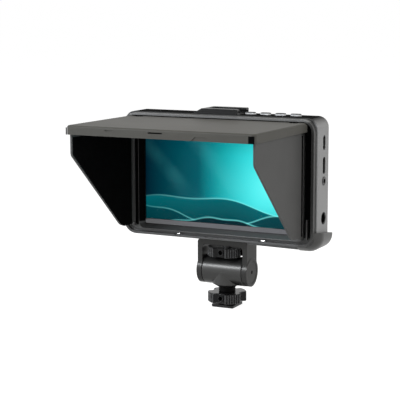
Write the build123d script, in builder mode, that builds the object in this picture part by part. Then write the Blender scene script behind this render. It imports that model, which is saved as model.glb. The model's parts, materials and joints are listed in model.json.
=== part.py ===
from build123d import *
from math import cos, radians, sin
import os

# Camera field monitor with a folding sun hood on a tilting shoe mount.
# All lengths are in millimetres. +X is the viewer's right, the screen faces -Y, +Z is up.
# The origin is the centre of the shoe foot's underside.

# ---- Clearances ----
running_gap = 0.05
part_gap = 0.3
fit_gap = 0.1

# ---- Shoe foot, stem and lock nut ----
foot_width = 18.0
foot_thickness = 2.0
foot_corner_radius = 1.2
foot_edge_chamfer = 0.4
spigot_radius = 3.2
spigot_depth = 1.2
stem_radius = 4.0
stem_flange_radius = 5.3
stem_flange_thickness = 1.6
nut_hub_height = 1.5
nut_hub_radius = 6.4

# ---- Four-lobed hand wheels ----
wheel_height = 7.4
wheel_reach = 14.6
wheel_core_radius = 11.5
wheel_phase = 43.0
wheel_lobe_width = 13.0
wheel_corner_radius = 1.0
wheel_groove_radius = 0.5
wheel_groove_angle = 7.4
wheel_grooves_per_lobe = 6
wheel_bar_hole_radius = 1.7
wheel_bar_hole_depth = 4.0
wheel_edge_chamfer = 0.5

# ---- Head: swivel collar and tilt barrel ----
collar_height = 3.4
collar_radius = 6.3
collar_spigot_radius = 5.7
collar_spigot_height = 2.7
boss_bottom_radius = 6.6
boss_radius = 11.0
boss_cone_height = 2.6
axle_height = 27.3
barrel_radius = 10.9
barrel_edge_fillet = 0.6
washer_thickness = 0.3
washer_radius = 9.6

# ---- Yoke ----
yoke_half_width = 20.4
yoke_window_half_width = 16.6
yoke_half_depth = 8.8
yoke_window_top = 47.3
yoke_top = 51.3
yoke_window_fillet = 3.0
yoke_corner_fillet = 2.0
ear_radius = 10.8
ear_half_width = 20.6
ear_recess_radius = 8.4
ear_recess_depth = 1.4
tilt_bolt_radius = 2.5
tilt_head_thickness = 1.2
socket_radius = 1.5
socket_depth = 0.9
pad_half_width = 17.5
pad_half_depth = 7.6
thumb_wheel_bottom = 38.7
mounting_screw_radius = 3.1
mounting_screw_length = 9.0
screw_head_radius = 5.0
screw_head_height = 2.6
screw_plate_clearance = 0.4

# ---- Monitor body ----
body_half_width = 78.2
body_bottom = 52.5
body_top = 146.2
body_front = -15.5
body_rear = 6.5
body_corner_radius = 8.0
body_rear_fillet = 1.2
shell_wall = 2.0
bezel_thickness = 2.2
bezel_edge_fillet = 0.75
glass_thickness = 1.2
glass_margin = 4.0
glass_corner_radius = 4.0
panel_half_width = 62.3
panel_bottom = 62.9
panel_top = 135.0
panel_thickness = 2.0
light_unit_thickness = 2.0
chassis_thickness = 1.0
chassis_side_gap = 1.7
chassis_margin = 3.0
case_screw_side_inset = 7.2
case_screw_end_inset = 7.0
case_boss_radius = 2.8
case_screw_radius = 1.0
case_screw_head_radius = 1.9
case_screw_head_height = 1.1
insert_radius = 4.3
insert_length = 9.0
insert_boss_half_width = 7.0

# ---- Main board and what it carries ----
board_front = -1.2
board_thickness = 1.6
board_left = -34.0
board_side_gap = 0.6
board_low = 66.0
board_step = 82.0
board_high = 134.0
board_low_right = 62.0
board_boss_radius = 2.4
board_screw_x = (-29.0, 56.0)
board_screw_z = (71.0, 129.0)
small_screw_radius = 0.8
small_screw_head_radius = 1.5
small_screw_head_height = 0.9
chip_height = 1.2
processor_place = (17.0, 105.0)
processor_size = (18.0, 18.0)
memory_place = (37.0, 104.5)
memory_size = (10.0, 13.0)
charger_place = (-2.0, 79.0)
charger_size = (8.0, 10.0)
power_place = (40.0, 80.0)
power_size = (12.0, 12.0)
ribbon_thickness = 0.3
ribbon_half_width = 9.0
ribbon_centre_x = -18.0
ribbon_board_z = 108.0
ribbon_loop_z = 90.0

# ---- Sockets in the right side ----
port_y = -3.2
data_port_z = 128.0
data_port_length = 9.4
data_port_height = 3.4
video_port_z = 111.6
video_port_length = 11.2
video_port_height = 3.6
port_depth = 7.6
port_wall = 0.4
port_tongue_thickness = 0.8
port_recess = 0.3
audio_z = 100.3
audio_bore_radius = 1.8
audio_collar_radius = 3.1
audio_body_size = 6.4
audio_bore_depth = 11.4
audio_proud = 0.4
dc_z = 73.2
dc_nose_radius = 3.9
dc_bore_radius = 3.2
dc_bore_depth = 9.0
dc_body_size = 9.2
dc_pin_radius = 1.05
dc_pin_recess = 1.5
socket_body_depth = 10.0

# ---- Buttons on top ----
button_pitch = 11.9
button_last_inset = 21.3
button_count = 4
button_y = -4.6
button_length = 8.2
button_width = 4.8
button_top = 147.95
button_travel = 0.8
button_flange = 0.8
button_edge_fillet = 0.6
button_stem_radius = 1.2
switch_size = 4.0
switch_height = 1.5
switch_plunger = 0.25
switch_plunger_radius = 0.9
button_board_thickness = 1.2
button_board_half_depth = 4.4
button_board_overhang = 6.4
button_post_inset = 1.6
button_post_width = 3.0
button_post_height = 2.0

# ---- Cold shoe on top ----
shoe_centre_x = 0.6
shoe_half_length = 14.4
shoe_centre_y = -4.8
shoe_slot_half_width = 9.3
shoe_floor_height = 0.4
shoe_slot_height = 2.1
shoe_wall = 1.0
shoe_lip_thickness = 1.55
shoe_mouth_half_width = 6.3
shoe_ramp_length = 7.4
shoe_stop_length = 3.0
shoe_base_half_width = 8.0
shoe_base_thickness = 1.2
shoe_screw_x = 10.0

# ---- Battery plate on the back ----
plate_half_width = 20.5
plate_bottom = 64.0
plate_top = 135.0
plate_thickness = 5.2
plate_corner_radius = 3.0
bay_half_width = 17.0
bay_depth = 2.2
bay_bottom = 70.0
bay_top = 126.0
hook_length = 6.0
hook_width = 2.4
hook_height = 2.6
hook_neck = 1.2
hook_z = (80.0, 112.0)
contact_pitch = 4.0
contact_width = 1.0
contact_length = 8.0
contact_z = 72.0
latch_centre_z = 130.5
latch_half_width = 5.0
latch_height = 3.4
latch_travel = 2.0
latch_proud = 1.6
latch_flange = 1.0
latch_flange_overlap = 1.2
latch_flange_depth = 1.2
spring_bottom = 119.0
spring_radius = 0.7
spring_wire_radius = 0.18
spring_pitch = 1.2
spring_channel_depth = 2.2

# ---- Hood frame ----
frame_front = -20.0
frame_side_inset = 1.2
frame_bottom_inset = 1.3
frame_top_inset = 0.8
frame_corner_radius = 9.0
frame_web = 1.5
rim_side = 2.2
rim_bottom = 1.6
rim_top = 1.7
bar_side_inset = 8.0
bar_bottom_inset = 3.9
bar_top_inset = 7.1
bar_corner_radius = 4.0
opening_side_inset = 1.0
opening_drop = 1.6
opening_top_inset = 0.5
opening_corner_radius = 1.5
opening_taper = 35.0
claw_wall = 3.0
claw_rear_wall = 2.2
claw_reach = 14.2
claw_front_height = 12.0
claw_rear_height = 8.5
claw_hook_reach = 6.0
claw_front = -18.4
claw_front_inset = 4.1
claw_bulge_y = -14.0
claw_bulge_inset = 1.0
claw_full_y = -9.0
left_claw_wall = 1.4
left_claw_front = -8.0
strap_thickness = 1.0
strap_front = -16.7
strap_height = 3.4
sill_inner_x = 24.0
sill_thickness = 1.1
sill_front = -17.0
sill_step = -14.5
sill_rear = -4.0
claw_rear_fillet = 1.4
guard_rib_offset = 2.8
guard_rib_thickness = 0.8
guard_rib_rise = 1.7
guard_rib_height = 14.6
catch_left = -6.0
catch_right = 4.0
catch_height = 0.8
catch_proud = 0.5
rim_notch_depth = 1.0
rim_notch_places = (-32.5, -7.6, 36.6)
rim_notch_widths = (3.0, 2.6, 4.0)

# ---- Hood lid ----
lid_axis_y = -23.3
lid_axis_rise = 1.0
lid_rise = 0.45
lid_flap_gap = 1.3
lid_reach = 86.8
lid_skin_thickness = 1.4
lid_top_offset = 4.0
lid_lip_height = 6.5
lid_front_lip = 1.4
lid_side_lip = 1.1
lid_skin_back = 2.0
lid_lip_back = 3.8
lid_corner_radius = 3.0
lid_edge_fillet = 1.5
lid_ear_inset = 2.4
lid_ear_width = 6.5
lid_ear_radius = 1.6
lid_ear_rise = 3.0
lid_knuckle_radius = 1.7
lid_knuckle_width = 2.5
lid_pin_radius = 0.7
latch_slot_left = -6.9
latch_slot_right = 3.8
latch_slot_height = 0.9
latch_slot_below_top = 2.6
tab_left = 25.4
tab_right = 39.4
tab_slope = 2.8
tab_height = 2.6
tab_depth = 0.5
mark_x = -37.2
mark_width = 6.0
mark_height = 1.0

# ---- Side flaps ----
flap_axis_inset = 1.1
left_flap_axis_y = -21.55
right_flap_axis_y = -23.95
flap_thickness = 1.5
flap_outer_offset = 1.35
flap_front = -106.6
flap_bottom_rise = 4.2
flap_top_rise = 0.3
flap_kink_drop = 16.7
flap_tip_y = -39.9
flap_tip_fillet = 13.0
flap_toe_out = 0.7
flap_kink_fillet = 5.0
flap_notch_reach = 14.5
flap_notch_drop = 3.1
flap_barrel_radius = 1.25
flap_barrel_drop = 5.2
flap_pin_radius = 0.6
flap_pin_engagement = 2.6
flap_ear_thickness = 1.6
flap_ear_half_width = 1.25

# ---- Levels and places that follow from the sizes above ----
nut_hub_bottom = foot_thickness + part_gap
nut_bottom = nut_hub_bottom + nut_hub_height
nut_top = nut_bottom + wheel_height
collar_bottom = nut_top + part_gap
boss_bottom = collar_bottom + collar_height
collar_top = boss_bottom + collar_spigot_height
stem_flange_bottom = collar_top + 2 * fit_gap
stem_top = stem_flange_bottom + stem_flange_thickness
boss_pocket_top = stem_top + part_gap
barrel_half_length = yoke_window_half_width - washer_thickness - fit_gap
thumb_wheel_top = thumb_wheel_bottom + wheel_height
mounting_screw_top = body_bottom + mounting_screw_length - part_gap
screw_head_bottom = thumb_wheel_bottom + fit_gap
bezel_rear = body_front + bezel_thickness
glass_rear = body_front + glass_thickness
panel_rear = glass_rear + panel_thickness
light_rear = panel_rear + light_unit_thickness
chassis_rear = light_rear + chassis_thickness
inner_rear = body_rear - shell_wall
inner_top = body_top - shell_wall
inner_bottom = body_bottom + shell_wall
inner_half_width = body_half_width - shell_wall
chassis_half_width = inner_half_width - chassis_side_gap
case_screw_x = body_half_width - case_screw_side_inset
case_screw_low = body_bottom + case_screw_end_inset
case_screw_high = body_top - case_screw_end_inset
glass_half_width = body_half_width - glass_margin
glass_bottom = body_bottom + glass_margin
glass_top = body_top - glass_margin
board_right = inner_half_width - board_side_gap
body_height = body_top - body_bottom
body_centre_z = (body_top + body_bottom) / 2
board_rear = board_front + board_thickness
button_flange_top = inner_top - part_gap
button_stem_bottom = button_flange_top - button_flange - button_travel
switch_top = button_stem_bottom - button_travel - fit_gap
button_board_top = switch_top - switch_plunger - switch_height
button_board_bottom = button_board_top - button_board_thickness
button_last_x = body_half_width - button_last_inset
button_first_x = button_last_x - (button_count - 1) * button_pitch
button_board_left = button_first_x - button_board_overhang
button_board_right = button_last_x + button_board_overhang
button_post_x = (button_board_left + button_post_inset, button_board_right - button_post_inset)
plate_rear = body_rear + plate_thickness
shoe_floor = body_top + shoe_floor_height
shoe_slot_top = shoe_floor + shoe_slot_height
shoe_left = shoe_centre_x - shoe_half_length
shoe_right = shoe_centre_x + shoe_half_length
claw_rear = body_rear + claw_rear_wall
claw_inner_x = body_half_width - claw_reach
claw_front_top = body_bottom + claw_front_height
claw_rear_top = body_bottom + claw_rear_height
frame_half_width = body_half_width - frame_side_inset
frame_bottom = body_bottom + frame_bottom_inset
frame_top = body_top - frame_top_inset
bar_half_width = frame_half_width - bar_side_inset
bar_bottom = frame_bottom + bar_bottom_inset
bar_top = frame_top - bar_top_inset
opening_half_width = panel_half_width - opening_side_inset
opening_bottom = panel_bottom - opening_drop
opening_top = panel_top - opening_top_inset
guard_rib_x = bar_half_width + guard_rib_offset
guard_rib_bottom = bar_bottom + guard_rib_rise
guard_rib_top = guard_rib_bottom + guard_rib_height
lid_axis_z = bar_top + lid_axis_rise
lid_ear_top = lid_axis_z + lid_ear_rise
flap_axis_x = bar_half_width - flap_axis_inset
flap_outer_x = flap_axis_x + flap_outer_offset
flap_bottom = bar_bottom + flap_bottom_rise
flap_top = lid_axis_z + flap_top_rise
flap_kink_z = lid_axis_z - flap_kink_drop
flap_notch_top = lid_axis_z - flap_notch_drop
flap_barrel_top = lid_axis_z - flap_barrel_drop
lid_half_width = flap_outer_x + lid_flap_gap + lid_side_lip
lid_ear_outer = flap_axis_x - lid_ear_inset
lid_ear_inner = lid_ear_outer - lid_ear_width
web_front = body_front - frame_web
flap_ear_low = flap_bottom - part_gap - flap_ear_thickness
flap_ear_high = flap_barrel_top + part_gap
lid_plane = Plane(
    origin=(0, lid_axis_y, lid_axis_z),
    x_dir=(1, 0, 0),
    z_dir=(0, sin(radians(lid_rise)), cos(radians(lid_rise))),
)
sides = (-1, 1)
beyond = 1.0


def level(z):
    """Horizontal plane at height z."""
    return Plane.XY.offset(z)


def facing(y):
    """Upright plane at depth y: local x is X, local y is Z, and it extrudes towards the viewer."""
    return Plane.XZ.offset(-y)


def sideways(x):
    """Upright plane at x: local x is Y, local y is Z, and it extrudes towards +X."""
    return Plane.YZ.offset(x)


def block(x_span, y_span, z_span, mode=Mode.ADD):
    """Add or cut the box that fills three spans."""
    spans = (x_span, y_span, z_span)
    centre = tuple((low + high) / 2 for low, high in spans)
    with Locations(centre):
        Box(*[high - low for low, high in spans], mode=mode)


def rod(plane, centre, radius, length, mode=Mode.ADD):
    """Add or cut a cylinder that stands on the plane."""
    with BuildSketch(plane) as outline:
        with Locations(centre):
            Circle(radius)
    extrude(outline.sketch, amount=length, mode=mode)


def rounded_slab(x_span, y_span, z_span, radius, mode=Mode.ADD):
    """Add or cut a slab between two depths whose outline, seen from the front, has round corners."""
    width = x_span[1] - x_span[0]
    height = z_span[1] - z_span[0]
    centre = ((x_span[0] + x_span[1]) / 2, (z_span[0] + z_span[1]) / 2)
    with BuildSketch(facing(y_span[1])) as outline:
        with Locations(centre):
            RectangleRounded(width, height, radius)
    extrude(outline.sketch, amount=y_span[1] - y_span[0], mode=mode)


def save(builder, label):
    """Label a finished piece and write it as its own STEP file."""
    builder.part.label = label
    export_step(builder.part, f"parts/{label}.step")


# ---------------------------------------------------------------- shoe mount


def make_foot_plate():
    with BuildPart() as foot:
        with BuildSketch(level(0)):
            RectangleRounded(foot_width, foot_width, foot_corner_radius)
        extrude(amount=foot_thickness)
        chamfer(foot.faces().sort_by(Axis.Z)[0].edges(), foot_edge_chamfer)
        rod(level(foot_thickness), (0, 0), spigot_radius, -spigot_depth, Mode.SUBTRACT)
    save(foot, "foot_plate")


def make_stem():
    with BuildPart() as stem:
        rod(level(foot_thickness - spigot_depth), (0, 0), spigot_radius, spigot_depth)
        rod(level(foot_thickness), (0, 0), stem_radius, stem_top - foot_thickness)
        rod(level(stem_flange_bottom), (0, 0), stem_flange_radius, stem_flange_thickness)
    save(stem, "stem")


def wheel_groove_places():
    """Centres of the grip grooves round the rims of the four lobes."""
    middle = (wheel_grooves_per_lobe - 1) / 2
    steps = [(index - middle) * wheel_groove_angle for index in range(wheel_grooves_per_lobe)]
    angles = [radians(wheel_phase + 90 * turn + step) for turn in range(4) for step in steps]
    return [(wheel_reach * cos(angle), wheel_reach * sin(angle)) for angle in angles]


def add_wheel(bottom, bore_radius):
    """Add a hand wheel with four grooved lobes and a tommy-bar hole between each two."""
    with BuildSketch(level(bottom)) as outline:
        Rectangle(2 * wheel_reach, wheel_lobe_width, rotation=wheel_phase)
        Rectangle(2 * wheel_reach, wheel_lobe_width, rotation=wheel_phase + 90)
        Circle(wheel_reach, mode=Mode.INTERSECT)
        Circle(wheel_core_radius)
        fillet(outline.vertices(), wheel_corner_radius)
    extrude(outline.sketch, amount=wheel_height)
    wheel = BuildPart._get_context()
    rims = wheel.faces().sort_by(Axis.Z)[0].edges() + wheel.faces().sort_by(Axis.Z)[-1].edges()
    chamfer(rims, wheel_edge_chamfer)
    with BuildSketch(level(bottom)) as grooves:
        with Locations(wheel_groove_places()):
            Circle(wheel_groove_radius)
    extrude(grooves.sketch, amount=wheel_height, mode=Mode.SUBTRACT)
    for turn in range(4):
        angle = radians(wheel_phase + 45 + 90 * turn)
        outward = (cos(angle), sin(angle), 0)
        centre = (wheel_reach * cos(angle), wheel_reach * sin(angle), bottom + wheel_height / 2)
        hole_plane = Plane(origin=centre, x_dir=(0, 0, 1), z_dir=outward)
        depth = wheel_reach - wheel_core_radius + wheel_bar_hole_depth
        rod(hole_plane, (0, 0), wheel_bar_hole_radius, -depth, Mode.SUBTRACT)
    rod(level(bottom), (0, 0), bore_radius, wheel_height, Mode.SUBTRACT)


def make_lock_nut():
    with BuildPart() as nut:
        bore = stem_radius + running_gap
        add_wheel(nut_bottom, bore)
        rod(level(nut_hub_bottom), (0, 0), nut_hub_radius, nut_hub_height)
        rod(level(nut_hub_bottom), (0, 0), bore, nut_hub_height, Mode.SUBTRACT)
    save(nut, "lock_nut")


def make_swivel_collar():
    with BuildPart() as collar:
        rod(level(collar_bottom), (0, 0), collar_radius, collar_height)
        rod(level(boss_bottom), (0, 0), collar_spigot_radius, collar_spigot_height)
        bore_length = collar_top - collar_bottom
        rod(level(collar_bottom), (0, 0), stem_radius + running_gap, bore_length, Mode.SUBTRACT)
    save(collar, "swivel_collar")


def make_tilt_barrel():
    with BuildPart() as barrel:
        rod(sideways(-barrel_half_length), (0, axle_height), barrel_radius, 2 * barrel_half_length)
        fillet(barrel.edges().filter_by(GeomType.CIRCLE), barrel_edge_fillet)
        with BuildSketch(Plane.XZ):
            with BuildLine():
                Polyline(
                    (0, boss_bottom),
                    (boss_bottom_radius, boss_bottom),
                    (boss_radius, boss_bottom + boss_cone_height),
                    (boss_radius, axle_height),
                    (0, axle_height),
                    close=True,
                )
            make_face()
        revolve(axis=Axis.Z)
        pocket_depth = boss_pocket_top - boss_bottom
        pocket_radius = collar_spigot_radius
        rod(level(boss_bottom), (0, 0), pocket_radius, pocket_depth, Mode.SUBTRACT)
        bolt_hole = tilt_bolt_radius + running_gap
        rod(sideways(-ear_half_width), (0, axle_height), bolt_hole, 2 * ear_half_width, Mode.SUBTRACT)
    save(barrel, "tilt_barrel")


def make_friction_washers():
    with BuildPart() as washers:
        bolt_hole = tilt_bolt_radius + running_gap
        for start in (-barrel_half_length - washer_thickness, barrel_half_length):
            rod(sideways(start), (0, axle_height), washer_radius, washer_thickness)
            rod(sideways(start), (0, axle_height), bolt_hole, washer_thickness, Mode.SUBTRACT)
    save(washers, "friction_washers")


def make_tilt_bolt():
    head_inner = ear_half_width - ear_recess_depth
    shaft_start = -head_inner - tilt_head_thickness
    head_outer = head_inner + tilt_head_thickness
    with BuildPart() as bolt:
        rod(sideways(shaft_start), (0, axle_height), tilt_bolt_radius, head_outer - shaft_start)
        rod(sideways(head_inner), (0, axle_height), ear_recess_radius - fit_gap, tilt_head_thickness)
        with BuildSketch(sideways(head_outer)):
            with Locations((0, axle_height)):
                RegularPolygon(socket_radius, 6)
        extrude(amount=-socket_depth, mode=Mode.SUBTRACT)
    save(bolt, "tilt_bolt")


def make_tilt_nut():
    nut_inner = ear_half_width - ear_recess_depth
    start = -nut_inner - tilt_head_thickness
    with BuildPart() as nut:
        rod(sideways(start), (0, axle_height), ear_recess_radius - fit_gap, tilt_head_thickness)
        rod(sideways(start), (0, axle_height), tilt_bolt_radius, tilt_head_thickness, Mode.SUBTRACT)
    save(nut, "tilt_nut")


# ---------------------------------------------------------------------- yoke


def make_yoke():
    with BuildPart() as yoke:
        with BuildSketch(facing(yoke_half_depth)):
            with BuildLine():
                Polyline(
                    (-yoke_half_width, axle_height),
                    (-yoke_half_width, yoke_top),
                    (yoke_half_width, yoke_top),
                    (yoke_half_width, axle_height),
                    (yoke_window_half_width, axle_height),
                    (yoke_window_half_width, yoke_window_top),
                    (-yoke_window_half_width, yoke_window_top),
                    (-yoke_window_half_width, axle_height),
                    close=True,
                )
            make_face()
        extrude(amount=2 * yoke_half_depth)
        upright = yoke.edges().filter_by(Axis.Y)
        fillet(upright.group_by(Axis.Z)[-1], yoke_corner_fillet)
        window_edges = yoke.edges().filter_by(Axis.Y).filter_by_position(
            Axis.Z, yoke_window_top - fit_gap, yoke_window_top + fit_gap
        )
        fillet(window_edges, yoke_window_fillet)
        ear_width = ear_half_width - yoke_window_half_width
        for start in (-ear_half_width, yoke_window_half_width):
            rod(sideways(start), (0, axle_height), ear_radius, ear_width)
        bolt_hole = tilt_bolt_radius
        rod(sideways(-ear_half_width), (0, axle_height), bolt_hole, 2 * ear_half_width, Mode.SUBTRACT)
        for start in (-ear_half_width, ear_half_width - ear_recess_depth):
            rod(sideways(start), (0, axle_height), ear_recess_radius, ear_recess_depth, Mode.SUBTRACT)
        screw_hole = mounting_screw_radius + screw_plate_clearance
        rod(level(yoke_window_top), (0, 0), screw_hole, yoke_top - yoke_window_top, Mode.SUBTRACT)
    save(yoke, "yoke")


def make_yoke_pad():
    with BuildPart() as pad:
        pad_x = (-pad_half_width, pad_half_width)
        pad_y = (-pad_half_depth, pad_half_depth)
        block(pad_x, pad_y, (yoke_top, body_bottom))
        fillet(pad.edges().filter_by(Axis.Z), yoke_corner_fillet)
        screw_hole = mounting_screw_radius + screw_plate_clearance
        rod(level(yoke_top), (0, 0), screw_hole, body_bottom - yoke_top, Mode.SUBTRACT)
    save(pad, "yoke_pad")


def make_thumb_wheel():
    with BuildPart() as wheel:
        add_wheel(thumb_wheel_bottom, mounting_screw_radius)
        pocket = screw_head_bottom + screw_head_height - thumb_wheel_bottom
        rod(level(thumb_wheel_bottom), (0, 0), screw_head_radius, pocket, Mode.SUBTRACT)
    save(wheel, "thumb_wheel")


def make_mounting_screw():
    with BuildPart() as screw:
        rod(level(screw_head_bottom), (0, 0), screw_head_radius, screw_head_height)
        shaft_length = mounting_screw_top - screw_head_bottom
        rod(level(screw_head_bottom), (0, 0), mounting_screw_radius, shaft_length)
        with BuildSketch(level(screw_head_bottom)):
            RegularPolygon(socket_radius + socket_depth, 6)
        extrude(amount=socket_depth, mode=Mode.SUBTRACT)
    save(screw, "mounting_screw")


# ------------------------------------------------------------- monitor casing


def case_screw_places():
    return [(side * case_screw_x, z) for side in sides for z in (case_screw_low, case_screw_high)]


def board_screw_places():
    return [(x, z) for x in board_screw_x for z in board_screw_z]


def button_places():
    return [button_first_x + index * button_pitch for index in range(button_count)]


def cut_side_openings():
    """Cut the socket openings through the right wall of the shell."""
    start = inner_half_width - beyond
    depth = shell_wall + 2 * beyond
    with BuildSketch(sideways(start)) as openings:
        with Locations((port_y, data_port_z)):
            SlotOverall(data_port_length + 2 * fit_gap, data_port_height + 2 * fit_gap, rotation=90)
        with Locations((port_y, video_port_z)):
            RectangleRounded(
                video_port_height + 2 * fit_gap, video_port_length + 2 * fit_gap, video_port_height / 3
            )
        with Locations((port_y, audio_z)):
            Circle(audio_collar_radius + fit_gap)
        with Locations((port_y, dc_z)):
            Circle(dc_nose_radius + fit_gap)
    extrude(openings.sketch, amount=depth, mode=Mode.SUBTRACT)


def make_rear_shell():
    outer_x = (-body_half_width, body_half_width)
    inner_x = (-inner_half_width, inner_half_width)
    with BuildPart() as shell:
        rounded_slab(outer_x, (bezel_rear, body_rear), (body_bottom, body_top), body_corner_radius)
        fillet(shell.faces().sort_by(Axis.Y)[-1].edges(), body_rear_fillet)
        inner_radius = body_corner_radius - shell_wall
        inner_z = (inner_bottom, inner_top)
        rounded_slab(inner_x, (bezel_rear, inner_rear), inner_z, inner_radius, Mode.SUBTRACT)
        for place in case_screw_places():
            rod(facing(inner_rear), place, case_boss_radius, inner_rear - chassis_rear)
        for place in board_screw_places():
            rod(facing(inner_rear), place, board_boss_radius, inner_rear - board_rear)
        boss_x = (-insert_boss_half_width, insert_boss_half_width)
        block(boss_x, (-insert_boss_half_width, inner_rear), (inner_bottom, body_bottom + insert_length))
        for x in button_post_x:
            post_x = (x - button_post_width / 2, x + button_post_width / 2)
            post_y = (button_y - button_board_half_depth, inner_rear)
            block(post_x, post_y, (button_board_bottom - button_post_height, button_board_bottom))
        cut_side_openings()
        with BuildSketch(level(inner_top)):
            for x in button_places():
                with Locations((x, button_y)):
                    SlotOverall(button_length + 2 * part_gap, button_width + 2 * part_gap)
        extrude(amount=shell_wall, mode=Mode.SUBTRACT)
        base_x = (shoe_left, shoe_right)
        base_y = (shoe_centre_y - shoe_base_half_width, shoe_centre_y + shoe_base_half_width)
        block(base_x, base_y, (body_top - shoe_base_thickness, body_top), Mode.SUBTRACT)
        with BuildSketch(level(inner_top)):
            with Locations([(shoe_centre_x + side * shoe_screw_x, shoe_centre_y) for side in sides]):
                Circle(small_screw_radius)
        extrude(amount=shell_wall, mode=Mode.SUBTRACT)
        rod(level(body_bottom), (0, 0), insert_radius, insert_length, Mode.SUBTRACT)
        for place in case_screw_places():
            rod(facing(body_rear), place, case_screw_radius, body_rear - chassis_rear, Mode.SUBTRACT)
            head_depth = case_screw_head_height + fit_gap
            rod(facing(body_rear), place, case_screw_head_radius, head_depth, Mode.SUBTRACT)
        for place in board_screw_places():
            hole_depth = inner_rear - board_rear
            rod(facing(board_rear), place, small_screw_radius, -hole_depth, Mode.SUBTRACT)
    save(shell, "rear_shell")


def make_front_bezel():
    outer_x = (-body_half_width, body_half_width)
    with BuildPart() as bezel:
        depth = (body_front, bezel_rear)
        rounded_slab(outer_x, depth, (body_bottom, body_top), body_corner_radius)
        fillet(bezel.faces().sort_by(Axis.Y)[0].edges(), bezel_edge_fillet)
        glass_x = (-glass_half_width - fit_gap, glass_half_width + fit_gap)
        glass_z = (glass_bottom - fit_gap, glass_top + fit_gap)
        pocket = (body_front, glass_rear)
        rounded_slab(glass_x, pocket, glass_z, glass_corner_radius, Mode.SUBTRACT)
        window_x = (-panel_half_width - fit_gap, panel_half_width + fit_gap)
        window_z = (panel_bottom - fit_gap, panel_top + fit_gap)
        block(window_x, (body_front, bezel_rear), window_z, Mode.SUBTRACT)
        for place in case_screw_places():
            rod(facing(light_rear), place, case_boss_radius, light_rear - bezel_rear)
            rod(facing(light_rear), place, case_screw_radius, light_rear - bezel_rear, Mode.SUBTRACT)
    save(bezel, "front_bezel")


def make_cover_glass():
    with BuildPart() as glass:
        glass_x = (-glass_half_width, glass_half_width)
        rounded_slab(glass_x, (body_front, glass_rear), (glass_bottom, glass_top), glass_corner_radius)
    save(glass, "cover_glass")


def make_panel_layer(front, rear, label):
    with BuildPart() as layer:
        block((-panel_half_width, panel_half_width), (front, rear), (panel_bottom, panel_top))
    save(layer, label)


def make_chassis_plate():
    with BuildPart() as chassis:
        plate_x = (-chassis_half_width, chassis_half_width)
        plate_z = (body_bottom + chassis_margin, body_top - chassis_margin)
        rounded_slab(plate_x, (light_rear, chassis_rear), plate_z, body_corner_radius - shell_wall)
        for place in case_screw_places():
            rod(facing(chassis_rear), place, case_screw_radius, chassis_thickness, Mode.SUBTRACT)
        ribbon_x = (ribbon_centre_x - ribbon_half_width, ribbon_centre_x + ribbon_half_width)
        slot_x = (ribbon_x[0] - beyond, ribbon_x[1] + beyond)
        slot_z = (ribbon_loop_z - beyond, ribbon_loop_z + 2 * beyond)
        block(slot_x, (light_rear, chassis_rear), slot_z, Mode.SUBTRACT)
    save(chassis, "chassis_plate")


def make_screw_set(places, seat_y, head_radius, head_height, shaft_radius, shaft_length, label):
    """Make like screws seated at one depth; a negative head height turns the heads to the front."""
    with BuildPart() as screws:
        for place in places:
            rod(facing(seat_y), place, shaft_radius, shaft_length)
            rod(facing(seat_y), place, head_radius, -head_height)
            rod(facing(seat_y + head_height), place, shaft_radius / 2, head_height / 2, Mode.SUBTRACT)
    save(screws, label)


def make_threaded_insert():
    with BuildPart() as insert:
        rod(level(body_bottom), (0, 0), insert_radius, insert_length)
        bore = mounting_screw_radius + running_gap
        rod(level(body_bottom), (0, 0), bore, insert_length, Mode.SUBTRACT)
    save(insert, "threaded_insert")


# --------------------------------------------------------------------- boards


def make_main_board():
    with BuildPart() as board:
        depth = (board_front, board_rear)
        block((board_left, board_right), depth, (board_step, board_high))
        block((board_left, board_low_right), depth, (board_low, board_step))
        for place in board_screw_places():
            rod(facing(board_rear), place, small_screw_radius, board_thickness, Mode.SUBTRACT)
    save(board, "main_board")


def make_board_chips():
    """Processor, memory and power parts on the front of the board."""
    places = (processor_place, memory_place, charger_place, power_place)
    sizes = (processor_size, memory_size, charger_size, power_size)
    with BuildPart() as chips:
        for (x, z), (width, height) in zip(places, sizes):
            chip_x = (x - width / 2, x + width / 2)
            chip_z = (z - height / 2, z + height / 2)
            block(chip_x, (board_front - chip_height, board_front), chip_z)
    save(chips, "board_chips")


def make_display_ribbon():
    """Flat cable from the backlight's rear, through the chassis slot, to the board's front."""
    ribbon_x = (ribbon_centre_x - ribbon_half_width, ribbon_centre_x + ribbon_half_width)
    with BuildPart() as ribbon:
        loop_z = (ribbon_loop_z, ribbon_loop_z + ribbon_thickness)
        block(ribbon_x, (light_rear, board_front), loop_z)
        board_y = (board_front - ribbon_thickness, board_front)
        block(ribbon_x, board_y, (ribbon_loop_z, ribbon_board_z))
    save(ribbon, "display_ribbon")


def make_button_board():
    with BuildPart() as board:
        board_x = (button_board_left, button_board_right)
        board_y = (button_y - button_board_half_depth, button_y + button_board_half_depth)
        block(board_x, board_y, (button_board_bottom, button_board_top))
    save(board, "button_board")


def make_tact_switches():
    with BuildPart() as switches:
        for x in button_places():
            switch_x = (x - switch_size / 2, x + switch_size / 2)
            switch_y = (button_y - switch_size / 2, button_y + switch_size / 2)
            case_top = button_board_top + switch_height
            block(switch_x, switch_y, (button_board_top, case_top))
            rod(level(case_top), (x, button_y), switch_plunger_radius, switch_plunger)
    save(switches, "tact_switches")


def make_button(x, label):
    with BuildPart() as button:
        with BuildSketch(level(button_flange_top)):
            with Locations((x, button_y)):
                SlotOverall(button_length, button_width)
        extrude(amount=button_top - button_flange_top)
        fillet(button.faces().sort_by(Axis.Z)[-1].edges(), button_edge_fillet)
        with BuildSketch(level(button_flange_top)):
            with Locations((x, button_y)):
                SlotOverall(button_length + 4 * part_gap, button_width + 4 * part_gap)
        extrude(amount=-button_flange)
        rod(level(button_flange_top), (x, button_y), button_stem_radius, button_stem_bottom - button_flange_top)
    save(button, label)


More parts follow.
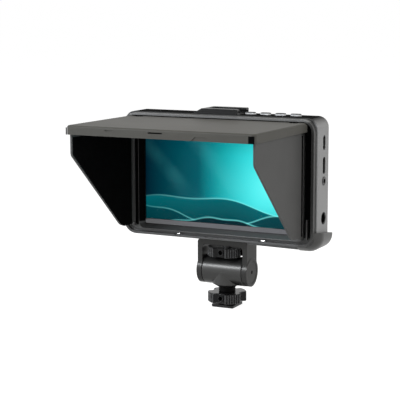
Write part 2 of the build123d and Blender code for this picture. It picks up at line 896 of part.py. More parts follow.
# -------------------------------------------------------------------- sockets


def make_data_port():
    inner_length = data_port_length - 2 * port_wall
    inner_height = data_port_height - 2 * port_wall
    start = body_half_width - port_recess - port_depth
    with BuildPart() as port:
        with BuildSketch(sideways(start)):
            with Locations((port_y, data_port_z)):
                SlotOverall(data_port_length, data_port_height, rotation=90)
        extrude(amount=port_depth)
        with BuildSketch(sideways(start + port_wall)):
            with Locations((port_y, data_port_z)):
                SlotOverall(inner_length, inner_height, rotation=90)
                Rectangle(port_tongue_thickness, inner_length - inner_height, mode=Mode.SUBTRACT)
        extrude(amount=port_depth, mode=Mode.SUBTRACT)
    save(port, "data_port")


def make_video_port():
    inner_length = video_port_length - 2 * port_wall
    inner_height = video_port_height - 2 * port_wall
    start = body_half_width - port_recess - port_depth
    with BuildPart() as port:
        with BuildSketch(sideways(start)):
            with Locations((port_y, video_port_z)):
                RectangleRounded(video_port_height, video_port_length, video_port_height / 3)
        extrude(amount=port_depth)
        with BuildSketch(sideways(start + port_wall)):
            with Locations((port_y, video_port_z)):
                RectangleRounded(inner_height, inner_length, inner_height / 3)
                Rectangle(port_tongue_thickness, inner_length - inner_height, mode=Mode.SUBTRACT)
        extrude(amount=port_depth, mode=Mode.SUBTRACT)
    save(port, "video_port")


def make_audio_jack():
    body_start = inner_half_width - socket_body_depth
    half = audio_body_size / 2
    with BuildPart() as jack:
        block((body_start, inner_half_width), (port_y - half, board_front), (audio_z - half, audio_z + half))
        bore_start = body_half_width + audio_proud - audio_bore_depth
        rod(sideways(bore_start), (port_y, audio_z), audio_bore_radius, audio_bore_depth, Mode.SUBTRACT)
    save(jack, "audio_jack")


def make_audio_collar():
    collar_length = body_half_width + audio_proud - inner_half_width
    with BuildPart() as collar:
        rod(sideways(inner_half_width), (port_y, audio_z), audio_collar_radius, collar_length)
        rod(sideways(inner_half_width), (port_y, audio_z), audio_bore_radius, collar_length, Mode.SUBTRACT)
    save(collar, "audio_collar")


def make_dc_jack():
    body_start = inner_half_width - socket_body_depth
    half = dc_body_size / 2
    nose_end = body_half_width - port_recess
    with BuildPart() as jack:
        block((body_start, inner_half_width), (port_y - half, inner_rear), (dc_z - half, dc_z + half))
        rod(sideways(inner_half_width), (port_y, dc_z), dc_nose_radius, nose_end - inner_half_width)
        rod(sideways(nose_end), (port_y, dc_z), dc_bore_radius, -dc_bore_depth, Mode.SUBTRACT)
    save(jack, "dc_jack")


def make_dc_pin():
    start = body_half_width - port_recess - dc_bore_depth
    with BuildPart() as pin:
        rod(sideways(start), (port_y, dc_z), dc_pin_radius, dc_bore_depth - dc_pin_recess)
    save(pin, "dc_pin")


# ---------------------------------------------------------- cold shoe on top


def make_cold_shoe():
    rail_top = shoe_slot_top + shoe_lip_thickness
    half_depth = shoe_slot_half_width + shoe_wall
    shoe_y = (shoe_centre_y - half_depth, shoe_centre_y + half_depth)
    with BuildPart() as shoe:
        with BuildSketch(facing(shoe_y[1])):
            with BuildLine():
                Polyline(
                    (shoe_left - shoe_ramp_length, body_top),
                    (shoe_left, rail_top),
                    (shoe_right, rail_top),
                    (shoe_right, body_top),
                    close=True,
                )
            make_face()
        extrude(amount=2 * half_depth)
        fillet(shoe.edges().filter_by(Axis.Y).group_by(Axis.Z)[-1], shoe_lip_thickness / 2)
        slot_left = shoe_left + shoe_stop_length
        slot_y = (shoe_centre_y - shoe_slot_half_width, shoe_centre_y + shoe_slot_half_width)
        block((slot_left, shoe_right), slot_y, (shoe_floor, shoe_slot_top), Mode.SUBTRACT)
        mouth_y = (shoe_centre_y - shoe_mouth_half_width, shoe_centre_y + shoe_mouth_half_width)
        block((slot_left, shoe_right), mouth_y, (shoe_slot_top, rail_top), Mode.SUBTRACT)
        base_y = (shoe_centre_y - shoe_base_half_width, shoe_centre_y + shoe_base_half_width)
        block((shoe_left, shoe_right), base_y, (body_top - shoe_base_thickness, body_top))
        for side in sides:
            place = (shoe_centre_x + side * shoe_screw_x, shoe_centre_y)
            screw_level = level(body_top - shoe_base_thickness)
            hole_depth = shoe_base_thickness + shoe_floor_height
            rod(screw_level, place, small_screw_radius, hole_depth, Mode.SUBTRACT)
            rod(level(shoe_floor), place, small_screw_head_radius, -small_screw_head_height, Mode.SUBTRACT)
    save(shoe, "cold_shoe")


def make_shoe_screws():
    with BuildPart() as screws:
        for side in sides:
            place = (shoe_centre_x + side * shoe_screw_x, shoe_centre_y)
            head_bottom = shoe_floor - small_screw_head_height
            rod(level(head_bottom), place, small_screw_head_radius, small_screw_head_height - fit_gap)
            rod(level(inner_top), place, small_screw_radius, head_bottom - inner_top)
            rod(level(shoe_floor), place, small_screw_radius / 2, -small_screw_head_height / 2, Mode.SUBTRACT)
    save(screws, "shoe_screws")


# ----------------------------------------------------- battery plate at rear


def make_battery_plate():
    plate_x = (-plate_half_width, plate_half_width)
    bay_floor = plate_rear - bay_depth
    with BuildPart() as plate:
        plate_z = (plate_bottom, plate_top)
        rounded_slab(plate_x, (body_rear, plate_rear), plate_z, plate_corner_radius)
        bay_x = (-bay_half_width, bay_half_width)
        block(bay_x, (bay_floor, plate_rear), (bay_bottom, bay_top), Mode.SUBTRACT)
        for side in sides:
            for z in hook_z:
                wall = side * bay_half_width
                neck_x = sorted((wall, wall - side * hook_neck))
                hook_x = sorted((wall, wall - side * hook_width))
                block(neck_x, (bay_floor, plate_rear + hook_height), (z, z + hook_length))
                hook_y = (plate_rear + hook_height - hook_neck, plate_rear + hook_height)
                block(hook_x, hook_y, (z, z + hook_length))
        for offset in (-contact_pitch, 0, contact_pitch):
            blade_x = (offset - contact_width / 2, offset + contact_width / 2)
            blade_z = (contact_z, contact_z + contact_length)
            block(blade_x, (body_rear, bay_floor), blade_z, Mode.SUBTRACT)
        window_x = (-latch_half_width - part_gap, latch_half_width + part_gap)
        low = latch_centre_z - latch_height / 2
        high = latch_centre_z + latch_height / 2
        window_z = (low - latch_travel - part_gap, high + part_gap)
        block(window_x, (body_rear, plate_rear), window_z, Mode.SUBTRACT)
        overlap = latch_flange_overlap + part_gap
        pocket_x = (-latch_half_width - overlap, latch_half_width + overlap)
        pocket_z = (window_z[0] - latch_flange_overlap, window_z[1] + latch_flange_overlap)
        pocket_y = (body_rear, body_rear + latch_flange_depth + part_gap)
        block(pocket_x, pocket_y, pocket_z, Mode.SUBTRACT)
        channel_half = spring_radius + spring_wire_radius + part_gap
        channel_y = (body_rear, body_rear + spring_channel_depth)
        block((-channel_half, channel_half), channel_y, (spring_bottom, latch_centre_z), Mode.SUBTRACT)
    save(plate, "battery_plate")


def make_battery_contacts():
    with BuildPart() as contacts:
        bay_floor = plate_rear - bay_depth
        for offset in (-contact_pitch, 0, contact_pitch):
            blade_x = (offset - contact_width / 2, offset + contact_width / 2)
            blade_z = (contact_z, contact_z + contact_length)
            block(blade_x, (body_rear, bay_floor + bay_depth / 2), blade_z)
    save(contacts, "battery_contacts")


def make_battery_latch():
    low = latch_centre_z - latch_height / 2
    high = latch_centre_z + latch_height / 2
    with BuildPart() as latch:
        latch_x = (-latch_half_width, latch_half_width)
        flange_front = body_rear + part_gap
        flange_rear = body_rear + latch_flange_depth
        block(latch_x, (flange_front, plate_rear + latch_proud), (low, high))
        fillet(latch.faces().sort_by(Axis.Y)[-1].edges(), button_edge_fillet)
        flange_x = (latch_x[0] - latch_flange_overlap, latch_x[1] + latch_flange_overlap)
        block(flange_x, (flange_front, flange_rear), (low, high + latch_flange_overlap))
    save(latch, "battery_latch")


def make_latch_spring():
    """Coil spring that pushes the latch up; it stands on the floor of the plate's channel."""
    spring_top = latch_centre_z - latch_height / 2
    coil_height = spring_top - spring_bottom - 2 * spring_wire_radius
    start = (0, body_rear + spring_channel_depth / 2, spring_bottom + spring_wire_radius)
    with BuildPart() as spring:
        with BuildLine() as coil:
            Helix(spring_pitch, coil_height, spring_radius, center=start)
        path = coil.line
        with BuildSketch(Plane(origin=path @ 0, z_dir=path % 0)):
            Circle(spring_wire_radius)
        sweep(path=path)
    save(spring, "latch_spring")


# ------------------------------------------------------------------- sun hood


def rim_inner_spans():
    inner_x = (-frame_half_width + rim_side, frame_half_width - rim_side)
    inner_z = (frame_bottom + rim_bottom, frame_top - rim_top)
    return inner_x, inner_z


def claw_outline(y, wall):
    """Round-cornered outline that stands off the body by the wall's thickness."""
    outer = body_half_width + wall
    bottom = body_bottom - wall
    with BuildSketch(facing(y)) as outline:
        with Locations((0, (bottom + body_top) / 2)):
            RectangleRounded(2 * outer, body_top - bottom, body_corner_radius + wall)
    return outline.sketch


def cut_claw_space(side, outer):
    """Clear the body's space, the hook's opening and all but one lower corner."""
    body_x = (-body_half_width, body_half_width)
    body_z = (body_bottom, body_top + 2 * claw_wall)
    rounded_slab(body_x, (body_front, body_rear), body_z, body_corner_radius, Mode.SUBTRACT)
    hook_x = (-body_half_width + claw_hook_reach, body_half_width - claw_hook_reach)
    hook_z = (body_bottom + claw_hook_reach, body_top + 2 * claw_wall)
    rounded_slab(hook_x, (body_rear, claw_rear), hook_z, body_corner_radius, Mode.SUBTRACT)
    other_x = sorted((side * claw_inner_x, -side * (outer + beyond)))
    depth_span = (frame_front - beyond, claw_rear + beyond)
    block(other_x, depth_span, (0, body_top + claw_wall), Mode.SUBTRACT)
    with BuildSketch(sideways(-outer - beyond)) as above:
        with BuildLine():
            Polyline(
                (frame_front, claw_front_top),
                (body_front, claw_front_top),
                (claw_rear + beyond, claw_rear_top),
                (claw_rear + beyond, body_top + 2 * claw_wall),
                (frame_front, body_top + 2 * claw_wall),
                close=True,
            )
        make_face()
    extrude(above.sketch, amount=2 * (outer + beyond), mode=Mode.SUBTRACT)


def make_right_claw():
    """Return the corner that swells from the frame round the body's lower right corner."""
    with BuildPart() as claw:
        extrude(claw_outline(claw_rear, claw_wall), amount=claw_rear - claw_full_y)
        fillet(claw.faces().sort_by(Axis.Y)[-1].edges(), claw_rear_fillet)
        sections = [
            claw_outline(claw_full_y, claw_wall),
            claw_outline(claw_bulge_y, claw_wall - claw_bulge_inset),
            claw_outline(claw_front, claw_wall - claw_front_inset),
        ]
        loft(sections)
        cut_claw_space(1, body_half_width + claw_wall)
    return claw.part


def make_left_claw():
    """Return the thinner corner on the left, which a strap joins to the frame."""
    with BuildPart() as claw:
        extrude(claw_outline(claw_rear, left_claw_wall), amount=claw_rear - left_claw_front)
        fillet(claw.faces().sort_by(Axis.Y)[-1].edges(), claw_rear_fillet / 2)
        cut_claw_space(-1, body_half_width + claw_wall)
        strap_x = (-body_half_width - strap_thickness, -body_half_width)
        strap_z = (claw_front_top - strap_height, claw_front_top)
        block(strap_x, (strap_front, left_claw_front), strap_z)
        block((strap_x[0], -frame_half_width + strap_thickness), (strap_front, body_front), strap_z)
    return claw.part


def add_sill():
    """Add the sill that runs from the right claw under the body towards the yoke."""
    with BuildSketch(facing(sill_rear)) as sill:
        with BuildLine():
            Polyline(
                (sill_inner_x, body_bottom),
                (sill_inner_x, body_bottom - sill_thickness),
                (claw_inner_x, body_bottom - 1.5 * sill_thickness),
                (claw_inner_x, body_bottom),
                close=True,
            )
        make_face()
    extrude(sill.sketch, amount=sill_rear - sill_step)
    step_z = (body_bottom - sill_thickness / 2, frame_bottom + rim_bottom / 2)
    block((sill_inner_x, claw_inner_x), (sill_front, body_front), step_z)
    block((sill_inner_x, claw_inner_x), (body_front, sill_step), (step_z[0], body_bottom))


def cut_frame_recesses():
    """Cut the groove between rim and inner bar, and the tapered opening over the glass."""
    inner_x, inner_z = rim_inner_spans()
    with BuildSketch(facing(web_front)) as groove:
        with Locations((0, (inner_z[0] + inner_z[1]) / 2)):
            width = inner_x[1] - inner_x[0]
            RectangleRounded(width, inner_z[1] - inner_z[0], frame_corner_radius - rim_side)
        with Locations((0, (bar_bottom + bar_top) / 2)):
            RectangleRounded(2 * bar_half_width, bar_top - bar_bottom, bar_corner_radius, mode=Mode.SUBTRACT)
    extrude(groove.sketch, amount=web_front - frame_front + beyond, mode=Mode.SUBTRACT)
    with BuildSketch(facing(body_front)) as opening:
        with Locations((0, (opening_bottom + opening_top) / 2)):
            height = opening_top - opening_bottom
            RectangleRounded(2 * opening_half_width, height, opening_corner_radius)
    extrude(opening.sketch, amount=body_front - frame_front, taper=-opening_taper, mode=Mode.SUBTRACT)


def add_lid_ears():
    """Add the two ears that carry the lid's hinge pins."""
    ear_low = lid_axis_z - lid_ear_radius
    for side in sides:
        start = min(side * lid_ear_inner, side * lid_ear_outer)
        with BuildSketch(sideways(start)) as ear:
            with BuildLine():
                Polyline(
                    (lid_axis_y, ear_low),
                    (body_front, ear_low),
                    (body_front, lid_ear_top),
                    (frame_front, lid_ear_top),
                    (lid_axis_y, lid_axis_z + lid_ear_radius),
                    close=True,
                )
            make_face()
            with Locations((lid_axis_y, lid_axis_z)):
                Circle(lid_ear_radius)
        extrude(ear.sketch, amount=lid_ear_outer - lid_ear_inner)
        bore = lid_pin_radius
        length = lid_ear_outer - lid_ear_inner
        rod(sideways(start), (lid_axis_y, lid_axis_z), bore, length, Mode.SUBTRACT)


def add_flap_ears():
    """Add the ears above and below each flap, with their pin holes."""
    for side, axis_y in ((-1, left_flap_axis_y), (1, right_flap_axis_y)):
        x = side * flap_axis_x
        for bottom in (flap_ear_low, flap_ear_high):
            ear_x = (x - flap_ear_half_width, x + flap_ear_half_width)
            block(ear_x, (axis_y, web_front), (bottom, bottom + flap_ear_thickness))
            rod(level(bottom), (x, axis_y), flap_ear_half_width, flap_ear_thickness)
            rod(level(bottom), (x, axis_y), flap_pin_radius, flap_ear_thickness, Mode.SUBTRACT)


def make_hood_frame():
    with BuildPart() as frame:
        add(make_right_claw())
        add(make_left_claw())
        frame_x = (-frame_half_width, frame_half_width)
        frame_z = (frame_bottom, frame_top)
        rounded_slab(frame_x, (frame_front, body_front), frame_z, frame_corner_radius)
        cut_frame_recesses()
        add_sill()
        for side in sides:
            rib_centre = side * guard_rib_x
            rib_x = (rib_centre - guard_rib_thickness / 2, rib_centre + guard_rib_thickness / 2)
            block(rib_x, (frame_front, web_front), (guard_rib_bottom, guard_rib_top))
        catch_z = (frame_bottom + rim_bottom / 4, frame_bottom + rim_bottom / 4 + catch_height)
        block((catch_left, catch_right), (frame_front - catch_proud, frame_front), catch_z)
        for x, width in zip(rim_notch_places, rim_notch_widths):
            notch_x = (x - width / 2, x + width / 2)
            notch_y = (frame_front, frame_front + rim_notch_depth)
            block(notch_x, notch_y, (frame_bottom + rim_bottom / 2, bar_bottom), Mode.SUBTRACT)
        add_lid_ears()
        add_flap_ears()
    save(frame, "hood_frame")


def make_hood_lid():
    skin_low = lid_top_offset - lid_skin_thickness
    lip_low = lid_top_offset - lid_lip_height
    length = lid_reach + lid_lip_back
    inner_half_width_lid = lid_half_width - lid_side_lip
    with BuildPart() as lid:
        with BuildSketch(lid_plane.offset(lip_low)) as outline:
            with Locations((0, (lid_lip_back - lid_reach) / 2)):
                Rectangle(2 * lid_half_width, length)
            fillet(outline.vertices().group_by(Axis.Y)[0], lid_corner_radius)
        extrude(amount=lid_lip_height)
        top_edges = lid.faces().sort_by(Axis.Z)[-1].edges().sort_by(Axis.Y)
        fillet(top_edges[:-1], lid_edge_fillet)
        with BuildSketch(lid_plane.offset(lip_low)):
            inner_front = lid_front_lip - lid_reach
            inner_rear_v = lid_lip_back + beyond
            with Locations((0, (inner_front + inner_rear_v) / 2)):
                Rectangle(2 * inner_half_width_lid, inner_rear_v - inner_front)
        extrude(amount=lid_lip_height - lid_skin_thickness, mode=Mode.SUBTRACT)
        with BuildSketch(lid_plane.offset(skin_low)):
            with Locations((0, (lid_skin_back + lid_lip_back + beyond) / 2)):
                Rectangle(2 * (lid_half_width + beyond), lid_lip_back + beyond - lid_skin_back)
        extrude(amount=lid_skin_thickness, mode=Mode.SUBTRACT)
        add_lid_knuckles(skin_low)
        cut_lid_front_details(lip_low)
    save(lid, "hood_lid")


def add_lid_knuckles(skin_low):
    """Add the hinge knuckles under the lid's rear edge and notch the skin round the frame's ears."""
    notch_front = -lid_ear_radius - 2 * part_gap
    notch_half = (lid_ear_outer - lid_ear_inner) / 2 + part_gap
    ear_centre = (lid_ear_inner + lid_ear_outer) / 2
    with BuildSketch(lid_plane.offset(skin_low)) as notches:
        for side in sides:
            with Locations((side * ear_centre, (notch_front + lid_skin_back + beyond) / 2)):
                Rectangle(2 * notch_half, lid_skin_back + beyond - notch_front)
    extrude(notches.sketch, amount=lid_skin_thickness, mode=Mode.SUBTRACT)
    inner_start = lid_ear_inner - part_gap - lid_knuckle_width
    outer_start = lid_ear_outer + part_gap
    for first in (inner_start, outer_start):
        for start in (first, -first - lid_knuckle_width):
            knuckle_plane = Plane(origin=(start, lid_axis_y, lid_axis_z), x_dir=(0, 1, 0), z_dir=(1, 0, 0))
            with BuildSketch(knuckle_plane) as knuckle:
                Circle(lid_knuckle_radius)
                with Locations((0, (skin_low + part_gap) / 2)):
                    Rectangle(2 * lid_knuckle_radius, skin_low + part_gap)
                Circle(lid_pin_radius + running_gap, mode=Mode.SUBTRACT)
            extrude(knuckle.sketch, amount=lid_knuckle_width)


def cut_lid_front_details(lip_low):
    """Cut the latch slot, finger tab and small mark into the front lip."""
    front = lid_plane.location * Location((0, -lid_reach, 0))
    face_plane = Plane(origin=front.position, x_dir=(1, 0, 0), z_dir=-lid_plane.y_dir)
    slot_middle = lid_top_offset - latch_slot_below_top
    with BuildSketch(face_plane) as slot:
        with Locations(((latch_slot_left + latch_slot_right) / 2, slot_middle)):
            Rectangle(latch_slot_right - latch_slot_left, latch_slot_height)
    extrude(slot.sketch, amount=-lid_front_lip, mode=Mode.SUBTRACT)
    with BuildSketch(face_plane) as marks:
        with BuildLine():
            Polyline(
                (tab_left, lip_low),
                (tab_left + tab_slope, lip_low + tab_height),
                (tab_right - tab_slope, lip_low + tab_height),
                (tab_right, lip_low),
                close=True,
            )
        make_face()
        with Locations((mark_x, slot_middle)):
            Rectangle(mark_width, mark_height)
    extrude(marks.sketch, amount=-tab_depth, mode=Mode.SUBTRACT)


def make_flap(side, axis_y, label):
    """Make one side flap: a thin plate with a slanted lower front edge and a hinge barrel."""
    plate_start = side * flap_outer_x if side < 0 else flap_outer_x - flap_thickness
    with BuildPart() as flap:
        with BuildSketch(sideways(plate_start)) as outline:
            with BuildLine():
                Polyline(
                    (axis_y, flap_bottom),
                    (flap_tip_y, flap_bottom),
                    (flap_front, flap_kink_z),
                    (flap_front, flap_top),
                    (axis_y - flap_notch_reach, flap_top),
                    (axis_y - flap_notch_reach, flap_notch_top),
                    (axis_y - flap_ear_half_width - 2 * part_gap, flap_notch_top),
                    (axis_y - flap_ear_half_width - 2 * part_gap, flap_barrel_top),
                    (axis_y, flap_barrel_top),
                    close=True,
                )
            make_face()
            tip = outline.vertices().sort_by_distance((flap_tip_y, flap_bottom, 0))[0]
            fillet(tip, flap_tip_fillet)
            kink = outline.vertices().sort_by_distance((flap_front, flap_kink_z, 0))[0]
            fillet(kink, flap_kink_fillet)
        extrude(amount=flap_thickness)
        barrel_height = flap_barrel_top - flap_bottom
        place = (side * flap_axis_x, axis_y)
        rod(level(flap_bottom), place, flap_barrel_radius, barrel_height)
        bore = flap_pin_radius + running_gap
        bore_depth = flap_pin_engagement + part_gap
        rod(level(flap_bottom), place, bore, bore_depth, Mode.SUBTRACT)
        rod(level(flap_barrel_top), place, bore, -bore_depth, Mode.SUBTRACT)
    hinge = Axis((side * flap_axis_x, axis_y, 0), (0, 0, 1))
    with BuildPart() as opened:
        add(flap.part.rotate(hinge, side * flap_toe_out))
    save(opened, label)


def make_lid_pins():
    pin_start = lid_ear_inner - part_gap - lid_knuckle_width
    pin_end = lid_ear_outer + part_gap + lid_knuckle_width
    with BuildPart() as pins:
        for start in (pin_start, -pin_end):
            rod(sideways(start), (lid_axis_y, lid_axis_z), lid_pin_radius, pin_end - pin_start)
    save(pins, "lid_pins")


def make_flap_pins():
    length = flap_ear_thickness + part_gap + flap_pin_engagement
    with BuildPart() as pins:
        for side, axis_y in ((-1, left_flap_axis_y), (1, right_flap_axis_y)):
            place = (side * flap_axis_x, axis_y)
            rod(level(flap_ear_low), place, flap_pin_radius, length)
            high_top = flap_ear_high + flap_ear_thickness
            rod(level(high_top), place, flap_pin_radius, -length)
    save(pins, "flap_pins")


# ----------------------------------------------------------------- make it all

os.makedirs("parts", exist_ok=True)

make_foot_plate()
make_stem()
make_lock_nut()
make_swivel_collar()
make_tilt_barrel()
make_friction_washers()
make_tilt_bolt()
make_tilt_nut()
make_yoke()
make_yoke_pad()
make_thumb_wheel()
make_mounting_screw()

make_rear_shell()
make_front_bezel()
make_cover_glass()
make_panel_layer(glass_rear, panel_rear, "lcd_panel")
make_panel_layer(panel_rear, light_rear, "backlight_unit")
make_chassis_plate()
make_threaded_insert()
case_screw_seat = body_rear - case_screw_head_height - fit_gap
make_screw_set(
    case_screw_places(),
    case_screw_seat,
    case_screw_head_radius,
    case_screw_head_height,
    case_screw_radius,
    case_screw_seat - bezel_rear - fit_gap,
    "case_screws",
)
make_main_board()
make_board_chips()
make_screw_set(
    board_screw_places(),
    board_front,
    small_screw_head_radius,
    -small_screw_head_height,
    small_screw_radius,
    board_front - inner_rear + fit_gap,
    "board_screws",
)
make_display_ribbon()
make_button_board()
make_tact_switches()
for number, place_x in enumerate(button_places(), start=1):
    make_button(place_x, f"button_{number}")
make_data_port()
make_video_port()
make_audio_jack()
make_audio_collar()
make_dc_jack()
make_dc_pin()
make_cold_shoe()
make_shoe_screws()
make_battery_plate()
make_battery_contacts()
make_battery_latch()
make_latch_spring()

make_hood_frame()
make_hood_lid()
make_flap(-1, left_flap_axis_y, "left_flap")
make_flap(1, right_flap_axis_y, "right_flap")
make_lid_pins()
make_flap_pins()
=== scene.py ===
import json
import math

import bmesh
import bpy
from mathutils import Matrix, Vector


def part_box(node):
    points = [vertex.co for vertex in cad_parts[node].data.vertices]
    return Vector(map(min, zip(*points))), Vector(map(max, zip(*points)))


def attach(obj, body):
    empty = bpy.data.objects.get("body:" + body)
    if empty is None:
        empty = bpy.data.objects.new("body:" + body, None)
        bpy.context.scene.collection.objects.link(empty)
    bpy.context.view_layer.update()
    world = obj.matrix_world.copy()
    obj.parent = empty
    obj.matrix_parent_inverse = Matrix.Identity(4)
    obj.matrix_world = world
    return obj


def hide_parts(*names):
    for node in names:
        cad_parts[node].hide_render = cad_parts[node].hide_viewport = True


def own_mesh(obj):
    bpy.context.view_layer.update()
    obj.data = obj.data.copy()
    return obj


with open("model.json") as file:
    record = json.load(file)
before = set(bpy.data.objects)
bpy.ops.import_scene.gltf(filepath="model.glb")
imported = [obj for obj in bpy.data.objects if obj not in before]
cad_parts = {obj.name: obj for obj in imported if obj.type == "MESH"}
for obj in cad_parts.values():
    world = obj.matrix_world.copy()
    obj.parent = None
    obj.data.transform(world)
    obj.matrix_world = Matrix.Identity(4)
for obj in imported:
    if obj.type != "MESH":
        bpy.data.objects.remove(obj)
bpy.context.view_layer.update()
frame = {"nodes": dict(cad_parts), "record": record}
nodes = frame["nodes"]

# Where the picture and the changes of tone lie, in metres in the part's frame; the frame's low and high tones
# are painted light.
picture_half_width = 0.0612
picture_low = 0.065
picture_high = 0.133
side_tone_from = 0.0745
side_tone_to = 0.0776
low_tone_half_width = 0.0660
low_tone_side_fade = 0.003
low_tone_z = 0.0620
low_tone_fade = 0.0012
high_tone_z = 0.1436
high_tone_fade = 0.0004

# Where a hand wheel's tone changes, in metres from its own axis.
wheel_groove_floor = 0.01405
wheel_land = 0.01452
wheel_tone_fade = 0.0001

# How far up a surface faces where a top wall's painted shade, and the loss of its shine, begin, and where
# they are full.
top_facing_from = 0.8
top_facing_to = 0.95

# The tones themselves.
side_wall = (0.20, 0.20, 0.20, 1.0)
# painted shade on the body's top wall
top_wall_painted_shade = (0.012, 0.012, 0.012, 1.0)
# painted light on the hood frame's low bar
low_bar_painted_light = (0.060, 0.060, 0.060, 1.0)
# painted highlight along the top of the frame's rim
rim_painted_highlight = (0.120, 0.120, 0.118, 1.0)
# painted shade in a hand wheel's grip grooves
groove_painted_shade = (0.0005, 0.0005, 0.0005, 1.0)
# painted highlight on a hand wheel's lands
land_painted_highlight = (0.036, 0.036, 0.036, 1.0)

# Noise scales, in cells per metre, and depths of bumps, in metres.
mottle_scale = 60.0
cloud_scale = 9.0
edge_mark_scale = 420.0
line_scale = 900.0
pile_scale = 5200.0
tuft_scale = 240.0
grain_depth = 0.00005
line_depth = 0.00003
pile_depth = 0.00012

# How much darker, paler or rougher a finish gets from place to place.
moulded_shade = 0.92
moulded_edge_lift = 0.02
moulded_gloss_spread = 0.03
brushed_shade = 0.75
brushed_edge_gain = 1.4

# ---------------------------------------------------------------- materials


class Nodes:
    """A short way to build one node material."""

    def __init__(self, name):
        self.material = bpy.data.materials.new(name)
        self.material.use_nodes = True
        self.tree = self.material.node_tree
        self.tree.nodes.clear()
        self.output = self.add("ShaderNodeOutputMaterial")

    def add(self, kind, **values):
        """Make a node. Each value is a property of it, or else the default of an input."""
        node = self.tree.nodes.new(kind)
        for key, value in values.items():
            if hasattr(node, key):
                setattr(node, key, value)
            else:
                node.inputs[key.replace("_", " ")].default_value = value
        return node

    def link(self, source, target):
        self.tree.links.new(source, target)

    def value(self, target, source):
        """Put a number, colour or another node's output into a socket."""
        if isinstance(source, bpy.types.NodeSocket):
            self.link(source, target)
        else:
            target.default_value = source

    def position(self):
        return self.add("ShaderNodeTexCoord").outputs["Object"]

    def axis(self, name):
        """One coordinate of the surface point in its own object."""
        split = self.add("ShaderNodeSeparateXYZ")
        self.link(self.position(), split.inputs["Vector"])
        return split.outputs[name]

    def upward(self):
        """How far the surface faces up, 0 on a wall and 1 on a top, in its own object."""
        split = self.add("ShaderNodeSeparateXYZ")
        self.link(self.add("ShaderNodeTexCoord").outputs["Normal"], split.inputs["Vector"])
        return split.outputs["Z"]

    def noise(self, scale, detail=4.0, roughness=0.55, stretch=None):
        """Soft noise in the object; stretch squeezes it along each axis by that much."""
        node = self.add("ShaderNodeTexNoise", Scale=scale, Detail=detail, Roughness=roughness)
        place = self.position()
        if stretch:
            mapping = self.add("ShaderNodeMapping", Scale=stretch)
            self.link(place, mapping.inputs["Vector"])
            place = mapping.outputs["Vector"]
        self.link(place, node.inputs["Vector"])
        return node.outputs["Fac"]

    def cells(self, scale):
        """Distance from the middle of the nearest of many scattered cells."""
        node = self.add("ShaderNodeTexVoronoi", Scale=scale)
        self.link(self.position(), node.inputs["Vector"])
        return node.outputs["Distance"]

    def spread(self, source, low, high, from_low=0.3, from_high=0.7):
        """Remap a value to run from low to high, held at both ends."""
        node = self.add("ShaderNodeMapRange")
        self.link(source, node.inputs["Value"])
        node.inputs["From Min"].default_value = from_low
        node.inputs["From Max"].default_value = from_high
        node.inputs["To Min"].default_value = low
        node.inputs["To Max"].default_value = high
        return node.outputs["Result"]

    def math(self, operation, first, second=0.0, clamp=False):
        node = self.add("ShaderNodeMath", operation=operation, use_clamp=clamp)
        self.value(node.inputs[0], first)
        self.value(node.inputs[1], second)
        return node.outputs["Value"]

    def blend(self, factor, first, second):
        node = self.add("ShaderNodeMix", data_type="RGBA")
        self.value(node.inputs["Factor"], factor)
        self.value(node.inputs[6], first)
        self.value(node.inputs[7], second)
        return node.outputs[2]

    def bump(self, height, strength, distance, normal=None):
        node = self.add("ShaderNodeBump", Strength=strength, Distance=distance)
        self.link(height, node.inputs["Height"])
        if normal is not None:
            self.link(normal, node.inputs["Normal"])
        return node.outputs["Normal"]

    def edges(self, radius):
        """(normal with rounded edges, mask that is 1 on the edges and 0 on flat faces)."""
        bevel = self.add("ShaderNodeBevel", samples=4, Radius=radius)
        geometry = self.add("ShaderNodeNewGeometry")
        dot = self.add("ShaderNodeVectorMath", operation="DOT_PRODUCT")
        self.link(bevel.outputs["Normal"], dot.inputs[0])
        self.link(geometry.outputs["Normal"], dot.inputs[1])
        mask = self.spread(dot.outputs["Value"], 1.0, 0.0, 0.8, 0.99)
        return bevel.outputs["Normal"], mask

    def surface(self, **values):
        shader = self.add("ShaderNodeBsdfPrincipled")
        for key, value in values.items():
            self.value(shader.inputs[key.replace("_", " ")], value)
        self.link(shader.outputs["BSDF"], self.output.inputs["Surface"])
        return shader


def grey(value, warm=0.0):
    """A grey, made warmer by that share more red and less blue."""
    return (value * (1 + warm), value * (1 + warm * 0.55), value * (1 - warm), 1.0)


